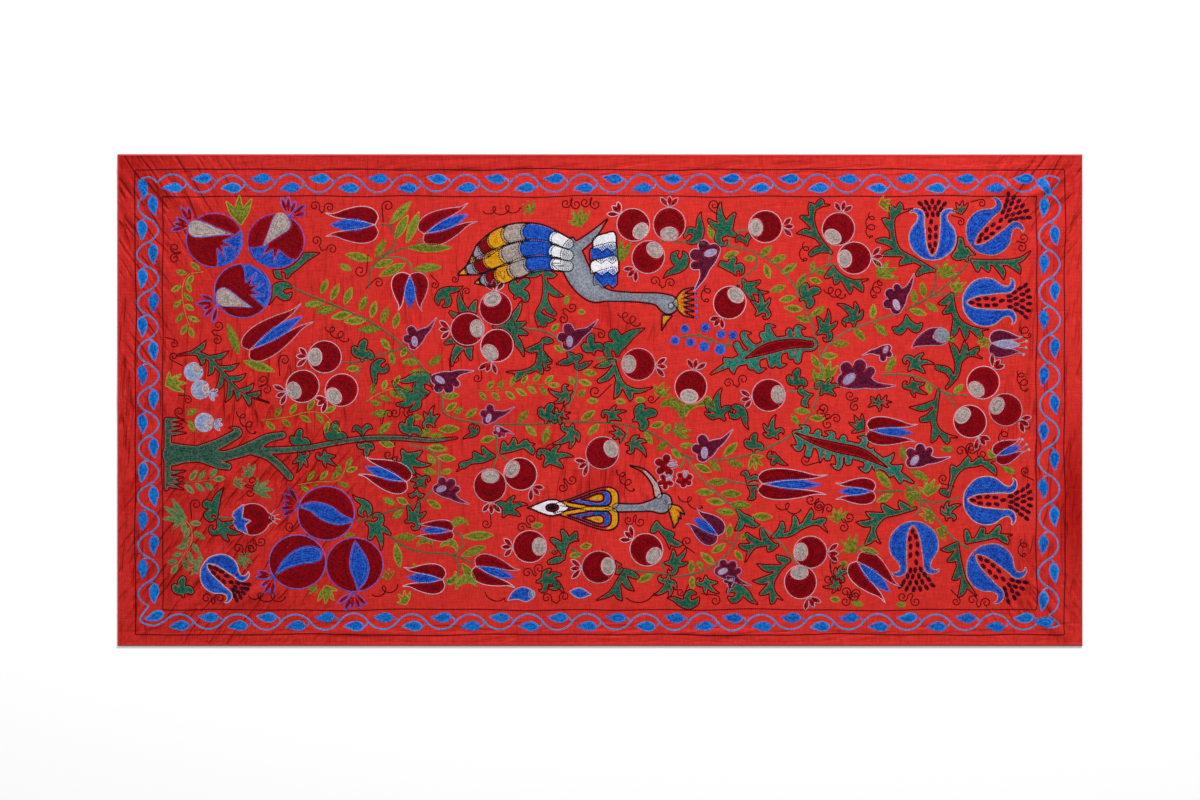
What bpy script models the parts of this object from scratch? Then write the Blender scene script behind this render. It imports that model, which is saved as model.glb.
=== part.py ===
"""A suzani: an embroidered silk cloth, lying flat on a surface.

One thin sheet with a turned hem, and with the soft pulls and creases that it lies in.
Metres, +Z up. The length runs along X and the width along Y, the origin is under the middle
of the cloth, and the underside rests on z = 0 wherever no fold lifts it.
"""
import math
from collections import namedtuple

import bmesh
import bpy

# Driving sizes
LENGTH = 2.06
WIDTH = 1.05
THICKNESS = 0.0015
HEM_WIDTH = 0.006
HEM_THICKNESS = 0.0024
HEM_STEP = 0.002

# The grid's cells before they are halved near the folds
CELLS_X = 44
CELLS_Y = 22
HALVINGS = 2
FOLD_MARGIN = 0.009

# The storage crease along the middle: a low tent over the full length, one cell to each side
CREASE_HEIGHT = 0.001
CREASE_REACH = WIDTH / CELLS_Y

CLOTH_RED = (0.55, 0.035, 0.025, 1.0)
CLOTH_ROUGHNESS = 0.55

# One row a fold: its middle, its length, its width, its height, and its turn from +X in degrees.
# No fold reaches the four corners, which lie flat.
Fold = namedtuple("Fold", "x y length width height turn")
FOLDS = (
    # pulls that run down from the top left corner
    Fold(-1.005, 0.460, 0.100, 0.036, 0.0036, -55),
    Fold(-0.998, 0.380, 0.190, 0.036, 0.0042, -70),
    Fold(-0.930, 0.452, 0.180, 0.038, 0.0046, -42),
    Fold(-0.872, 0.424, 0.150, 0.036, 0.0036, -35),
    Fold(-0.952, 0.330, 0.180, 0.034, 0.0032, -66),
    # waves along the left edge
    Fold(-1.006, 0.120, 0.250, 0.030, 0.0028, 88),
    Fold(-1.008, -0.200, 0.300, 0.032, 0.0032, 91),
    Fold(-0.940, -0.290, 0.230, 0.036, 0.0036, 86),
    # pulls that rise to the right over the lower left
    Fold(-0.877, -0.210, 0.150, 0.034, 0.0042, 60),
    Fold(-0.812, -0.186, 0.140, 0.032, 0.0036, 52),
    Fold(-0.778, -0.245, 0.110, 0.030, 0.0030, 60),
    Fold(-0.655, -0.178, 0.170, 0.036, 0.0046, 50),
    Fold(-0.700, -0.290, 0.110, 0.030, 0.0030, 62),
    Fold(-0.745, -0.420, 0.190, 0.036, 0.0042, 27),
    Fold(-0.900, -0.350, 0.180, 0.036, 0.0036, 55),
    Fold(-0.882, -0.444, 0.150, 0.034, 0.0032, 48),
    # short puckers beside the thickest stitching of the stem
    Fold(-0.845, 0.022, 0.100, 0.030, 0.0026, 95),
    Fold(-0.790, 0.036, 0.110, 0.030, 0.0028, 84),
    Fold(-0.700, 0.050, 0.090, 0.028, 0.0024, 78),
    # puckers near the middle
    Fold(-0.005, 0.150, 0.100, 0.030, 0.0028, 96),
    Fold(0.045, 0.165, 0.090, 0.028, 0.0024, 80),
    Fold(-0.010, -0.155, 0.140, 0.032, 0.0030, 86),
    # pulls towards the top right corner
    Fold(0.948, 0.450, 0.190, 0.038, 0.0046, 38),
    Fold(0.999, 0.380, 0.240, 0.036, 0.0050, 72),
    Fold(0.920, 0.290, 0.210, 0.034, 0.0042, 74),
    Fold(0.862, 0.452, 0.160, 0.032, 0.0026, 18),
    # waves along the right edge
    Fold(1.010, -0.070, 0.250, 0.030, 0.0036, 88),
    Fold(1.012, -0.265, 0.300, 0.034, 0.0046, 92),
    Fold(0.900, -0.120, 0.140, 0.030, 0.0026, 86),
    Fold(0.893, -0.300, 0.150, 0.032, 0.0032, 84),
    # pulls into the bottom right corner
    Fold(0.968, -0.487, 0.110, 0.034, 0.0042, -38),
    Fold(0.945, -0.420, 0.190, 0.036, 0.0040, -48),
    # long low waves beside the top and bottom edges
    Fold(-0.520, -0.494, 0.300, 0.028, 0.0020, 2),
    Fold(0.260, -0.496, 0.260, 0.028, 0.0018, -1),
    Fold(-0.300, 0.500, 0.240, 0.028, 0.0018, 1),
)


def along_and_across(fold, x, y):
    """The point's place in the fold's own axes, where 1 is the fold's end or side."""
    turn = math.radians(fold.turn)
    dx = x - fold.x
    dy = y - fold.y
    along = dx * math.cos(turn) + dy * math.sin(turn)
    across = dy * math.cos(turn) - dx * math.sin(turn)
    return 2 * along / fold.length, 2 * across / fold.width


def bell(t):
    """A soft hump: 1 at t = 0, and level with the surface from t = 1 outwards."""
    return math.cos(0.5 * math.pi * t) ** 2 if abs(t) < 1 else 0.0


def lift(x, y):
    """How high the underside of the cloth stands above the surface."""
    height = CREASE_HEIGHT * max(0.0, 1 - abs(y) / CREASE_REACH)
    for fold in FOLDS:
        along, across = along_and_across(fold, x, y)
        height = max(height, fold.height * bell(along) * bell(across))
    return height


def near_a_fold(face, margin):
    """Whether the face's middle is on a fold or within the margin of one."""
    middle = face.calc_center_median()
    for fold in FOLDS:
        along, across = along_and_across(fold, middle.x, middle.y)
        if abs(along) < 1 + 2 * margin / fold.length and abs(across) < 1 + 2 * margin / fold.width:
            return True
    return False


def halve_cells_near_folds(bm):
    """Halve the cells near the folds, in a wide zone first and then in a narrow one."""
    for step in range(HALVINGS):
        margin = FOLD_MARGIN * (HALVINGS - step)
        edges = {edge for face in bm.faces if near_a_fold(face, margin) for edge in face.edges}
        bmesh.ops.subdivide_edges(bm, edges=list(edges), cuts=1, use_grid_fill=True)


def add_hem_rows(bm):
    """Two rows of faces along the outside edge: the hem itself, and the step down from it."""
    inner = bm.faces[:]
    for width in (HEM_WIDTH, HEM_STEP):
        bmesh.ops.inset_region(bm, faces=inner, thickness=width, use_even_offset=True)


def cloth_mesh():
    """The underside of the cloth as an open surface, lifted at its folds."""
    bm = bmesh.new()
    bmesh.ops.create_grid(bm, x_segments=CELLS_X, y_segments=CELLS_Y, size=0.5)
    bmesh.ops.scale(bm, vec=(LENGTH, WIDTH, 1.0), verts=bm.verts)
    halve_cells_near_folds(bm)
    add_hem_rows(bm)
    bmesh.ops.triangulate(bm, faces=[face for face in bm.faces if len(face.verts) > 4])
    for vert in bm.verts:
        vert.co.z = lift(vert.co.x, vert.co.y)
    mesh = bpy.data.meshes.new("cloth")
    bm.to_mesh(mesh)
    bm.free()
    return mesh


def thicken(cloth):
    """Give the cloth its thickness upwards, with the turned hem thicker than the rest."""
    inner_x = LENGTH / 2 - HEM_WIDTH - HEM_STEP / 2
    inner_y = WIDTH / 2 - HEM_WIDTH - HEM_STEP / 2
    group = cloth.vertex_groups.new(name="thickness")
    for vert in cloth.data.vertices:
        in_hem = abs(vert.co.x) > inner_x or abs(vert.co.y) > inner_y
        group.add([vert.index], 1.0 if in_hem else THICKNESS / HEM_THICKNESS, "REPLACE")
    solidify = cloth.modifiers.new("thickness", "SOLIDIFY")
    solidify.thickness = HEM_THICKNESS
    solidify.offset = 1.0
    solidify.vertex_group = group.name


def cloth_material():
    """Red silk."""
    material = bpy.data.materials.new("red silk")
    material.use_nodes = True
    shader = material.node_tree.nodes["Principled BSDF"]
    shader.inputs["Base Color"].default_value = CLOTH_RED
    shader.inputs["Roughness"].default_value = CLOTH_ROUGHNESS
    shader.inputs["Metallic"].default_value = 0.0
    return material


def build():
    for old in list(bpy.data.objects):
        bpy.data.objects.remove(old, do_unlink=True)
    collection = bpy.data.collections.new("suzani")
    bpy.context.scene.collection.children.link(collection)
    cloth = bpy.data.objects.new("cloth", cloth_mesh())
    collection.objects.link(cloth)
    cloth.data.materials.append(cloth_material())
    thicken(cloth)


build()
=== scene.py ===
"""The looks of the suzani: red silk in soft folds, with raised chain-stitch embroidery.

In the design tables, places and sizes are centimetres on the cloth, from its middle, with +X to
the right and +Y up as the cloth is looked at from above. Turns are degrees from +X.
"""
import math
from collections import defaultdict, namedtuple

import bpy
import numpy as np
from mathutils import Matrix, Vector


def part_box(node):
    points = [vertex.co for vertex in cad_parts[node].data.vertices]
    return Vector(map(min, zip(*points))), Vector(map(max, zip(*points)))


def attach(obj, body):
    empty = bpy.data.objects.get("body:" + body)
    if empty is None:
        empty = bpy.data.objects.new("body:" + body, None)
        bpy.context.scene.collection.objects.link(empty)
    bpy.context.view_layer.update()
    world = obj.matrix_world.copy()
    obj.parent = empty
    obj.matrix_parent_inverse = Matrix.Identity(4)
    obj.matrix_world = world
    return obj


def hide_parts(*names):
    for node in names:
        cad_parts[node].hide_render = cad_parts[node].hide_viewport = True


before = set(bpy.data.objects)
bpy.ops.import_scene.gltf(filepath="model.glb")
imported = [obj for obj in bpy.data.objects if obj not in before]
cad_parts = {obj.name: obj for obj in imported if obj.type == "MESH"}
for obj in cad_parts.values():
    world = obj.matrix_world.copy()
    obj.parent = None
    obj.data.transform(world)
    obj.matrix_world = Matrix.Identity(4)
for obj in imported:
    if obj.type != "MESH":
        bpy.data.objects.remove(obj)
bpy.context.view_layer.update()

CM = 0.01
rng = np.random.default_rng(11)

# The cloth, in metres. Its length and width are the solid's, to the centimetre.
LOW, HIGH = (Vector(corner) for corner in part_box("cloth"))
LENGTH = round(HIGH.x - LOW.x, 2)
WIDTH = round(HIGH.y - LOW.y, 2)
THICKNESS = 0.0015
HEM_WIDTH = 0.0045
HEM_RISE = 0.0009
CREASE_HEIGHT = 0.001
CREASE_REACH = 0.0477
WRINKLE_LIMIT = 0.0024

# The upper face is a grid of cells, which crowd towards the edges by this share
TOP_CELLS = (400, 180)
CROWDING = 0.45

# One row a fold, in metres: its middle, length, width, height, and turn in degrees
Fold = namedtuple("Fold", "x y length width height turn")
FOLDS = (
    # pulls that run down from the top left corner
    Fold(-1.005, 0.460, 0.100, 0.036, 0.0036, -55),
    Fold(-0.998, 0.380, 0.190, 0.036, 0.0042, -70),
    Fold(-0.930, 0.452, 0.180, 0.038, 0.0046, -42),
    Fold(-0.872, 0.424, 0.150, 0.036, 0.0036, -35),
    Fold(-0.952, 0.330, 0.180, 0.034, 0.0032, -66),
    # waves along the left edge
    Fold(-1.006, 0.120, 0.250, 0.030, 0.0028, 88),
    Fold(-1.008, -0.200, 0.300, 0.032, 0.0032, 91),
    Fold(-0.940, -0.290, 0.230, 0.036, 0.0036, 86),
    # pulls that rise to the right over the lower left
    Fold(-0.877, -0.210, 0.150, 0.034, 0.0042, 60),
    Fold(-0.812, -0.186, 0.140, 0.032, 0.0036, 52),
    Fold(-0.778, -0.245, 0.110, 0.030, 0.0030, 60),
    Fold(-0.655, -0.178, 0.170, 0.036, 0.0046, 50),
    Fold(-0.700, -0.290, 0.110, 0.030, 0.0030, 62),
    Fold(-0.745, -0.420, 0.190, 0.036, 0.0042, 27),
    Fold(-0.900, -0.350, 0.180, 0.036, 0.0036, 55),
    Fold(-0.882, -0.444, 0.150, 0.034, 0.0032, 48),
    # short puckers beside the thickest stitching of the stem
    Fold(-0.845, 0.022, 0.100, 0.030, 0.0026, 95),
    Fold(-0.790, 0.036, 0.110, 0.030, 0.0028, 84),
    Fold(-0.700, 0.050, 0.090, 0.028, 0.0024, 78),
    # puckers near the middle
    Fold(-0.005, 0.150, 0.100, 0.030, 0.0028, 96),
    Fold(0.045, 0.165, 0.090, 0.028, 0.0024, 80),
    Fold(-0.010, -0.155, 0.140, 0.032, 0.0030, 86),
    # pulls towards the top right corner
    Fold(0.948, 0.450, 0.190, 0.038, 0.0046, 38),
    Fold(0.999, 0.380, 0.240, 0.036, 0.0050, 72),
    Fold(0.920, 0.290, 0.210, 0.034, 0.0042, 74),
    Fold(0.862, 0.452, 0.160, 0.032, 0.0026, 18),
    # waves along the right edge
    Fold(1.010, -0.070, 0.250, 0.030, 0.0036, 88),
    Fold(1.012, -0.265, 0.300, 0.034, 0.0046, 92),
    Fold(0.900, -0.120, 0.140, 0.030, 0.0026, 86),
    Fold(0.893, -0.300, 0.150, 0.032, 0.0032, 84),
    # pulls into the bottom right corner
    Fold(0.968, -0.487, 0.110, 0.034, 0.0042, -38),
    Fold(0.945, -0.420, 0.190, 0.036, 0.0040, -48),
    # long low waves beside the top and bottom edges
    Fold(-0.520, -0.494, 0.300, 0.028, 0.0020, 2),
    Fold(0.260, -0.496, 0.260, 0.028, 0.0018, -1),
    Fold(-0.300, 0.500, 0.240, 0.028, 0.0018, 1),
)

# Finer wrinkles that lie on the folds: zones where a number of small ones are strewn, in metres
Zone = namedtuple("Zone", "x y reach_x reach_y count length width height turn spread")
ZONES = (
    Zone(-0.955, 0.430, 0.070, 0.080, 16, 0.085, 0.011, 0.0016, -58, 10),
    Zone(-0.860, 0.440, 0.080, 0.060, 10, 0.070, 0.010, 0.0012, -40, 9),
    Zone(-1.010, 0.150, 0.014, 0.250, 14, 0.080, 0.009, 0.0011, 88, 8),
    Zone(-1.010, -0.260, 0.014, 0.220, 14, 0.080, 0.009, 0.0011, 90, 8),
    Zone(-0.900, 0.220, 0.060, 0.150, 16, 0.060, 0.010, 0.0010, 100, 14),
    Zone(-0.850, -0.330, 0.090, 0.120, 30, 0.080, 0.011, 0.0016, 56, 10),
    Zone(-0.700, -0.230, 0.090, 0.110, 16, 0.065, 0.010, 0.0012, 55, 12),
    Zone(-0.740, -0.420, 0.130, 0.030, 14, 0.080, 0.010, 0.0012, 24, 8),
    Zone(-0.780, 0.030, 0.110, 0.040, 22, 0.045, 0.008, 0.0010, 88, 10),
    Zone(-0.760, -0.170, 0.130, 0.050, 20, 0.050, 0.008, 0.0010, 80, 14),
    Zone(-0.640, 0.230, 0.150, 0.120, 20, 0.050, 0.009, 0.0008, 95, 12),
    Zone(-0.330, 0.020, 0.260, 0.300, 34, 0.050, 0.009, 0.0006, 92, 14),
    Zone(0.020, 0.155, 0.080, 0.030, 12, 0.045, 0.008, 0.0010, 92, 10),
    Zone(0.010, -0.160, 0.070, 0.080, 16, 0.050, 0.008, 0.0011, 88, 10),
    Zone(0.330, 0.000, 0.300, 0.330, 34, 0.050, 0.009, 0.0006, 90, 16),
    Zone(0.960, 0.470, 0.070, 0.040, 14, 0.090, 0.010, 0.0014, 32, 10),
    Zone(0.900, 0.300, 0.080, 0.110, 24, 0.070, 0.010, 0.0013, 66, 12),
    Zone(1.008, 0.360, 0.016, 0.120, 10, 0.100, 0.010, 0.0014, 76, 6),
    Zone(0.860, -0.050, 0.100, 0.160, 22, 0.055, 0.009, 0.0009, 84, 12),
    Zone(1.010, -0.200, 0.015, 0.220, 18, 0.090, 0.010, 0.0012, 90, 6),
    Zone(0.900, -0.380, 0.090, 0.110, 26, 0.060, 0.010, 0.0011, -62, 16),
    Zone(0.985, -0.480, 0.030, 0.030, 8, 0.060, 0.010, 0.0012, -38, 8),
    Zone(0.000, -0.505, 0.900, 0.010, 30, 0.130, 0.008, 0.0008, 0, 3),
    Zone(0.000, 0.505, 0.900, 0.010, 24, 0.130, 0.008, 0.0007, 0, 3),
)


def bell(t):
    """A soft hump: 1 at t = 0, and 0 from t = 1 outwards."""
    return np.where(np.abs(t) < 1, np.cos(0.5 * math.pi * np.clip(t, -1, 1)) ** 2, 0.0)


def fold_height(fold, x, y):
    """The height of one fold at each point, worked out only where it reaches."""
    height = np.zeros_like(x)
    reach = (fold.length + fold.width) / 2
    near = (np.abs(x - fold.x) < reach) & (np.abs(y - fold.y) < reach)
    turn = math.radians(fold.turn)
    dx = x[near] - fold.x
    dy = y[near] - fold.y
    along = dx * math.cos(turn) + dy * math.sin(turn)
    across = dy * math.cos(turn) - dx * math.sin(turn)
    height[near] = fold.height * bell(2 * along / fold.length) * bell(2 * across / fold.width)
    return height


def strewn_wrinkles():
    """The small wrinkles of every zone, some of them troughs."""
    wrinkles = []
    for zone in ZONES:
        for _ in range(zone.count):
            x = zone.x + rng.uniform(-1, 1) * zone.reach_x
            y = zone.y + rng.uniform(-1, 1) * zone.reach_y
            length = zone.length * rng.uniform(0.6, 1.5)
            width = zone.width * rng.uniform(0.8, 1.5)
            height = zone.height * rng.uniform(0.4, 1.0)
            wrinkles.append(Fold(x, y, length, width, height, zone.turn + rng.normal() * zone.spread))
    return wrinkles


WRINKLES = strewn_wrinkles()


def lift(x, y):
    """How high the underside of the cloth stands above the surface, in metres."""
    height = CREASE_HEIGHT * np.clip(1 - np.abs(y) / CREASE_REACH, 0, None)
    for fold in FOLDS:
        height = np.maximum(height, fold_height(fold, x, y))
    return height


def hem(x, y):
    """The extra height of the turned hem along the outside edge."""
    inside = np.minimum(LENGTH / 2 - np.abs(x), WIDTH / 2 - np.abs(y))
    return HEM_RISE * np.clip(1 - (inside / HEM_WIDTH) ** 4, 0, 1)


def top_height(x, y):
    """The height of the embroidered face: the folds, the fine wrinkles and the hem."""
    wrinkled = np.zeros_like(x)
    for wrinkle in WRINKLES:
        wrinkled += fold_height(wrinkle, x, y)
    return lift(x, y) + THICKNESS + hem(x, y) + np.minimum(wrinkled, WRINKLE_LIMIT)


def grid_line(size, count):
    """Places along one side of the cloth, closer together near both ends."""
    s = np.linspace(-1, 1, count + 1)
    return size / 2 * ((1 - CROWDING) * s + CROWDING * np.sin(0.5 * math.pi * s))


TOP_X = grid_line(LENGTH, TOP_CELLS[0])
TOP_Y = grid_line(WIDTH, TOP_CELLS[1])
TOP_Z = top_height(*np.meshgrid(TOP_X, TOP_Y))


def face_height(x, y):
    """The height of the embroidered face at any points, read between the grid's lines."""
    at_x = np.interp(x, TOP_X, np.arange(len(TOP_X)))
    at_y = np.interp(y, TOP_Y, np.arange(len(TOP_Y)))
    i = np.clip(at_y.astype(int), 0, len(TOP_Y) - 2)
    j = np.clip(at_x.astype(int), 0, len(TOP_X) - 2)
    u = at_x - j
    v = at_y - i
    low = TOP_Z[i, j] * (1 - u) + TOP_Z[i, j + 1] * u
    high = TOP_Z[i + 1, j] * (1 - u) + TOP_Z[i + 1, j + 1] * u
    return low * (1 - v) + high * v


# Curves and shapes. A shape is a list of parts: an outline has two columns, and a stroke has
# three, the third being its radius.


def smooth(points, step=0.25, closed=False):
    """A smooth curve through the points, of as many columns as they have."""
    points = np.asarray(points, float)
    if closed:
        points = np.vstack([points[-1], points, points[:2]])
    else:
        points = np.vstack([2 * points[0] - points[1], points, 2 * points[-1] - points[-2]])
    pieces = []
    for before, start, end, after in zip(points, points[1:], points[2:], points[3:]):
        count = max(2, math.ceil(np.hypot(*(end - start)[:2]) / step))
        t = np.linspace(0, 1, count, endpoint=False)[:, None]
        pieces.append(
            0.5 * (2 * start + (end - before) * t
                   + (2 * before - 5 * start + 4 * end - after) * t ** 2
                   + (3 * start - before - 3 * end + after) * t ** 3)
        )
    if not closed:
        pieces.append(points[-2:-1])
    return np.vstack(pieces)


def outline(*sides, step=0.05):
    """A closed outline of smooth sides that meet at corners."""
    return np.vstack([smooth(side, step)[:-1] for side in sides])


def ellipse(x, y, a, b, turn=0, count=40):
    """An ellipse's outline."""
    t = np.linspace(0, 2 * math.pi, count, endpoint=False)
    c, s = math.cos(math.radians(turn)), math.sin(math.radians(turn))
    return np.column_stack([
        x + a * np.cos(t) * c - b * np.sin(t) * s,
        y + a * np.cos(t) * s + b * np.sin(t) * c,
    ])


def lens(x, y, length, width, turn, belly=0.5, count=10):
    """A pointed leaf's outline from its base at (x, y), widest at belly of its length."""
    t = np.linspace(0, 1, count + 1)
    half = width / 2 * np.sin(math.pi * t ** (math.log(0.5) / math.log(belly)))
    up = np.column_stack([t * length, half])
    down = up[::-1][1:-1] * (1, -1)
    return placed([np.vstack([up, down])], x, y, turn=turn)[0]


def placed(parts, x, y, size=1.0, turn=0.0, flip=False):
    """The parts scaled, mirrored if asked, turned and moved."""
    c, s = math.cos(math.radians(turn)) * size, math.sin(math.radians(turn)) * size
    moved = []
    for part in parts:
        part = np.asarray(part, float)
        px = part[:, 0]
        py = -part[:, 1] if flip else part[:, 1]
        columns = [x + px * c - py * s, y + px * s + py * c]
        if part.shape[1] == 3:
            columns.append(part[:, 2] * size)
        moved.append(np.column_stack(columns))
    return moved


# Rows of chain stitch, with sizes in centimetres

# A stitch's length, the pitch of the rows in a fill, and the width and height of a sewn line
STITCH = 0.46
ROW = 0.25
LINE = 0.27
RISE = 0.085
SHORTEST_ROW = 0.12

# An outline's width by its thread, and its height
EDGE_WIDTHS = {"wine": 0.42, "black": 0.55, "pale": 0.24, "lilac": 0.24}
EDGE_RISE = 1.3 * RISE

# Of the pitch: a row's width, where the first row lies from a bare outline or from an edge row,
# and how far inside the last row a middle line is looked for
ROW_COVER = 1.5
FIRST_ROW = 0.38
BESIDE_EDGE = 0.42
LOOK_BACK = 0.6

# The grid on which shapes are measured, and the pad under a fill: its height, its cell in grid
# steps, and how far it stays inside the outline
GRID = 0.11
PAD_RISE = 0.028
PAD_STEP = 3
PAD_INSET = 0.12

# A line of this many points or fewer ends a fill, and one of so many or more has no middle line
FEWEST_POINTS = 8
MOST_POINTS = 400

# Per thread, the rows and pads sewn so far, and the outlines under which leaves and stems stop
Row = namedtuple("Row", "points closed width rise tone")
rows = defaultdict(list)
pads = defaultdict(list)
covers = []


def sew(thread, points, closed=False, width=LINE, rise=RISE):
    """One row of chain stitches along a line: two points a stitch, its joint and its middle."""
    if closed:
        points = np.vstack([points, points[:1]])
    steps = np.hypot(*np.diff(points, axis=0).T)
    run = np.concatenate([[0], np.cumsum(steps)])
    total = run[-1]
    if total < SHORTEST_ROW:
        return
    count = 2 * max(2 if closed else 1, round(total / STITCH))
    if closed:
        spots = (np.arange(count) / count * total + rng.uniform(0, total)) % total
    else:
        spots = np.linspace(0, total, count + 1)
    joints = np.column_stack([np.interp(spots, run, points[:, k]) for k in (0, 1)])
    rows[thread].append(Row(joints, closed, width, rise, rng.uniform(-1, 1)))


def depth_in_outline(x, y, loop):
    """Distance to a closed outline, positive inside it."""
    start = loop
    end = np.roll(loop, -1, 0)
    side = end - start
    long = np.maximum((side ** 2).sum(1), 1e-12)
    dx = x[:, None] - start[:, 0]
    dy = y[:, None] - start[:, 1]
    t = np.clip((dx * side[:, 0] + dy * side[:, 1]) / long, 0, 1)
    near = np.sqrt(((dx - t * side[:, 0]) ** 2 + (dy - t * side[:, 1]) ** 2).min(1))
    spans = (start[:, 1] > y[:, None]) != (end[:, 1] > y[:, None])
    with np.errstate(divide="ignore", invalid="ignore"):
        cross = dx < side[:, 0] * dy / side[:, 1]
    inside = (spans & cross).sum(1) % 2 == 1
    return np.where(inside, near, -near)


def depth_in_stroke(x, y, stroke):
    """Depth inside a stroke whose radius changes along it."""
    start = stroke[:-1]
    side = np.diff(stroke, axis=0)
    long = np.maximum((side[:, :2] ** 2).sum(1), 1e-12)
    dx = x[:, None] - start[:, 0]
    dy = y[:, None] - start[:, 1]
    t = np.clip((dx * side[:, 0] + dy * side[:, 1]) / long, 0, 1)
    away = np.sqrt((dx - t * side[:, 0]) ** 2 + (dy - t * side[:, 1]) ** 2)
    return (start[:, 2] + t * side[:, 2] - away).max(1)


def depth(x, y, parts):
    """Depth inside the union of the parts."""
    deepest = np.full(len(x), -1e9)
    for part in parts:
        test = depth_in_stroke if part.shape[1] == 3 else depth_in_outline
        deepest = np.maximum(deepest, test(x, y, part))
    return deepest


# For each pattern of corners inside, the cell's sides that a contour enters and leaves by, with
# the inside on its left. Corners count 1, 2, 4, 8 from the lower left, counter-clockwise.
CELL_PATHS = {
    1: ("BL",), 2: ("RB",), 3: ("RL",), 4: ("TR",), 5: ("BL", "TR"), 6: ("TB",), 7: ("TL",),
    8: ("LT",), 9: ("BT",), 10: ("RB", "LT"), 11: ("RT",), 12: ("LR",), 13: ("BR",), 14: ("LB",),
}


def contours(field, level):
    """The closed lines along which the field equals the level, in grid steps."""
    above = field > level
    code = above[:-1, :-1] + 2 * above[:-1, 1:] + 4 * above[1:, 1:] + 8 * above[1:, :-1]
    cells = np.argwhere((code > 0) & (code < 15))
    following = {}
    for i, j in cells.tolist():
        sides = {"B": (0, i, j), "T": (0, i + 1, j), "L": (1, i, j), "R": (1, i, j + 1)}
        for path in CELL_PATHS[int(code[i, j])]:
            following[sides[path[0]]] = sides[path[1]]
    loops = []
    while following:
        first, side = following.popitem()
        keys = [first]
        while side != first:
            keys.append(side)
            side = following.pop(side)
        upright, i, j = np.array(keys).T
        a = field[i, j]
        b = field[i + upright, j + 1 - upright]
        t = (level - a) / (b - a)
        loops.append(np.column_stack([j + t * (1 - upright), i + t * upright]))
    return loops


def holds(loop, point):
    """Whether a closed line goes round a point."""
    ends = np.roll(loop, -1, 0)
    spans = (loop[:, 1] > point[1]) != (ends[:, 1] > point[1])
    a, b = loop[spans], ends[spans]
    cross = (b[:, 0] - a[:, 0]) * (point[1] - a[:, 1]) / (b[:, 1] - a[:, 1]) + a[:, 0]
    return (point[0] < cross).sum() % 2 == 1


def middle_line(loop):
    """The line along the middle of a narrow closed line, or a long line as it is."""
    if len(loop) >= MOST_POINTS:
        return loop
    apart = ((loop[:, None] - loop) ** 2).sum(2)
    a, b = sorted(np.unravel_index(apart.argmax(), apart.shape))
    one = loop[a:b + 1]
    other = np.vstack([loop[b:], loop[:a + 1]])[::-1]
    count = max(3, (b - a) // 2)

    def even(side):
        """Evenly spaced points along one side."""
        spots = np.linspace(0, len(side) - 1, count)
        return np.column_stack([np.interp(spots, np.arange(len(side)), side[:, k]) for k in (0, 1)])

    return (even(one) + even(other)) / 2


def pad(thread, low, field):
    """Lay the low ground of a filled shape, which shows in the dips between its rows."""
    coarse = field[::PAD_STEP, ::PAD_STEP] > PAD_INSET
    filled = coarse[:-1, :-1] & coarse[:-1, 1:] & coarse[1:, 1:] & coarse[1:, :-1]
    cells = np.argwhere(filled)
    if not len(cells):
        return
    corners = cells[:, None] + np.array([(0, 0), (0, 1), (1, 1), (1, 0)])
    width = coarse.shape[1]
    used, faces = np.unique(corners[..., 0] * width + corners[..., 1], return_inverse=True)
    places = np.column_stack([used % width, used // width]) * PAD_STEP * GRID + low
    pads[thread].append((places, faces.reshape(-1, 4)))


def covers_near(low, high):
    """The outlines of the fruits and flowers near a place, under which leaves and stems stop."""
    return [loop for loop in covers if (loop.max(0) > low).all() and (loop.min(0) < high).all()]


def embroider(parts, fill, edge=None, cut=(), gap=0.0, core=None, row=ROW, under=False):
    """Fill a shape with rows that follow its outline, with an edge row if a thread is given.

    The cut parts are left bare, and the core thread, if given, sews the middle lines. A shape
    that is under the fruits and flowers stops at them.
    """
    parts = [np.asarray(part, float) for part in parts]
    spread = [part[:, 2].max() if part.shape[1] == 3 else 0 for part in parts]
    low = np.min([part[:, :2].min(0) - r for part, r in zip(parts, spread)], axis=0) - 3 * GRID
    high = np.max([part[:, :2].max(0) + r for part, r in zip(parts, spread)], axis=0) + 3 * GRID
    if under:
        cut = list(cut) + covers_near(low, high)
    width, height = np.ceil((high - low) / GRID).astype(int) + 1
    gx, gy = np.meshgrid(low[0] + GRID * np.arange(width), low[1] + GRID * np.arange(height))
    field = depth(gx.ravel(), gy.ravel(), parts)
    if len(cut):
        taken = depth(gx.ravel(), gy.ravel(), [np.asarray(part, float) for part in cut])
        field = np.minimum(field, -taken - gap)
    field = field.reshape(gx.shape)

    def loops_at(level):
        """The lines that lie this deep inside the shape."""
        return [low + GRID * loop for loop in contours(field, level)]

    pad(fill, low, field)
    level = FIRST_ROW * row
    if edge:
        edge_width = EDGE_WIDTHS.get(edge, LINE)
        for loop in loops_at(0.0):
            sew(edge, loop, closed=True, width=edge_width, rise=EDGE_RISE)
        level = 0.5 * edge_width + BESIDE_EDGE * row
    ring = loops_at(level)
    while ring:
        for loop in ring:
            sew(fill, loop, closed=True, width=ROW_COVER * row)
        level += row
        inner = [loop for loop in loops_at(level) if len(loop) > FEWEST_POINTS]
        for rest in loops_at(level - LOOK_BACK * row):
            if not any(holds(rest, loop[0]) for loop in inner):
                sew(core or fill, middle_line(rest), width=ROW_COVER * row)
        ring = inner


# Motifs, with their radii in centimetres

SMALL_FRUIT_SIZE = 3.5
BIG_FRUIT_SIZE = 6.0


def at(x, y, reach, turn):
    """The point that lies at a distance and a turn from another."""
    return x + reach * math.cos(math.radians(turn)), y + reach * math.sin(math.radians(turn))


def heading(step):
    """The turn of a step."""
    return math.degrees(math.atan2(step[1], step[0]))


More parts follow.
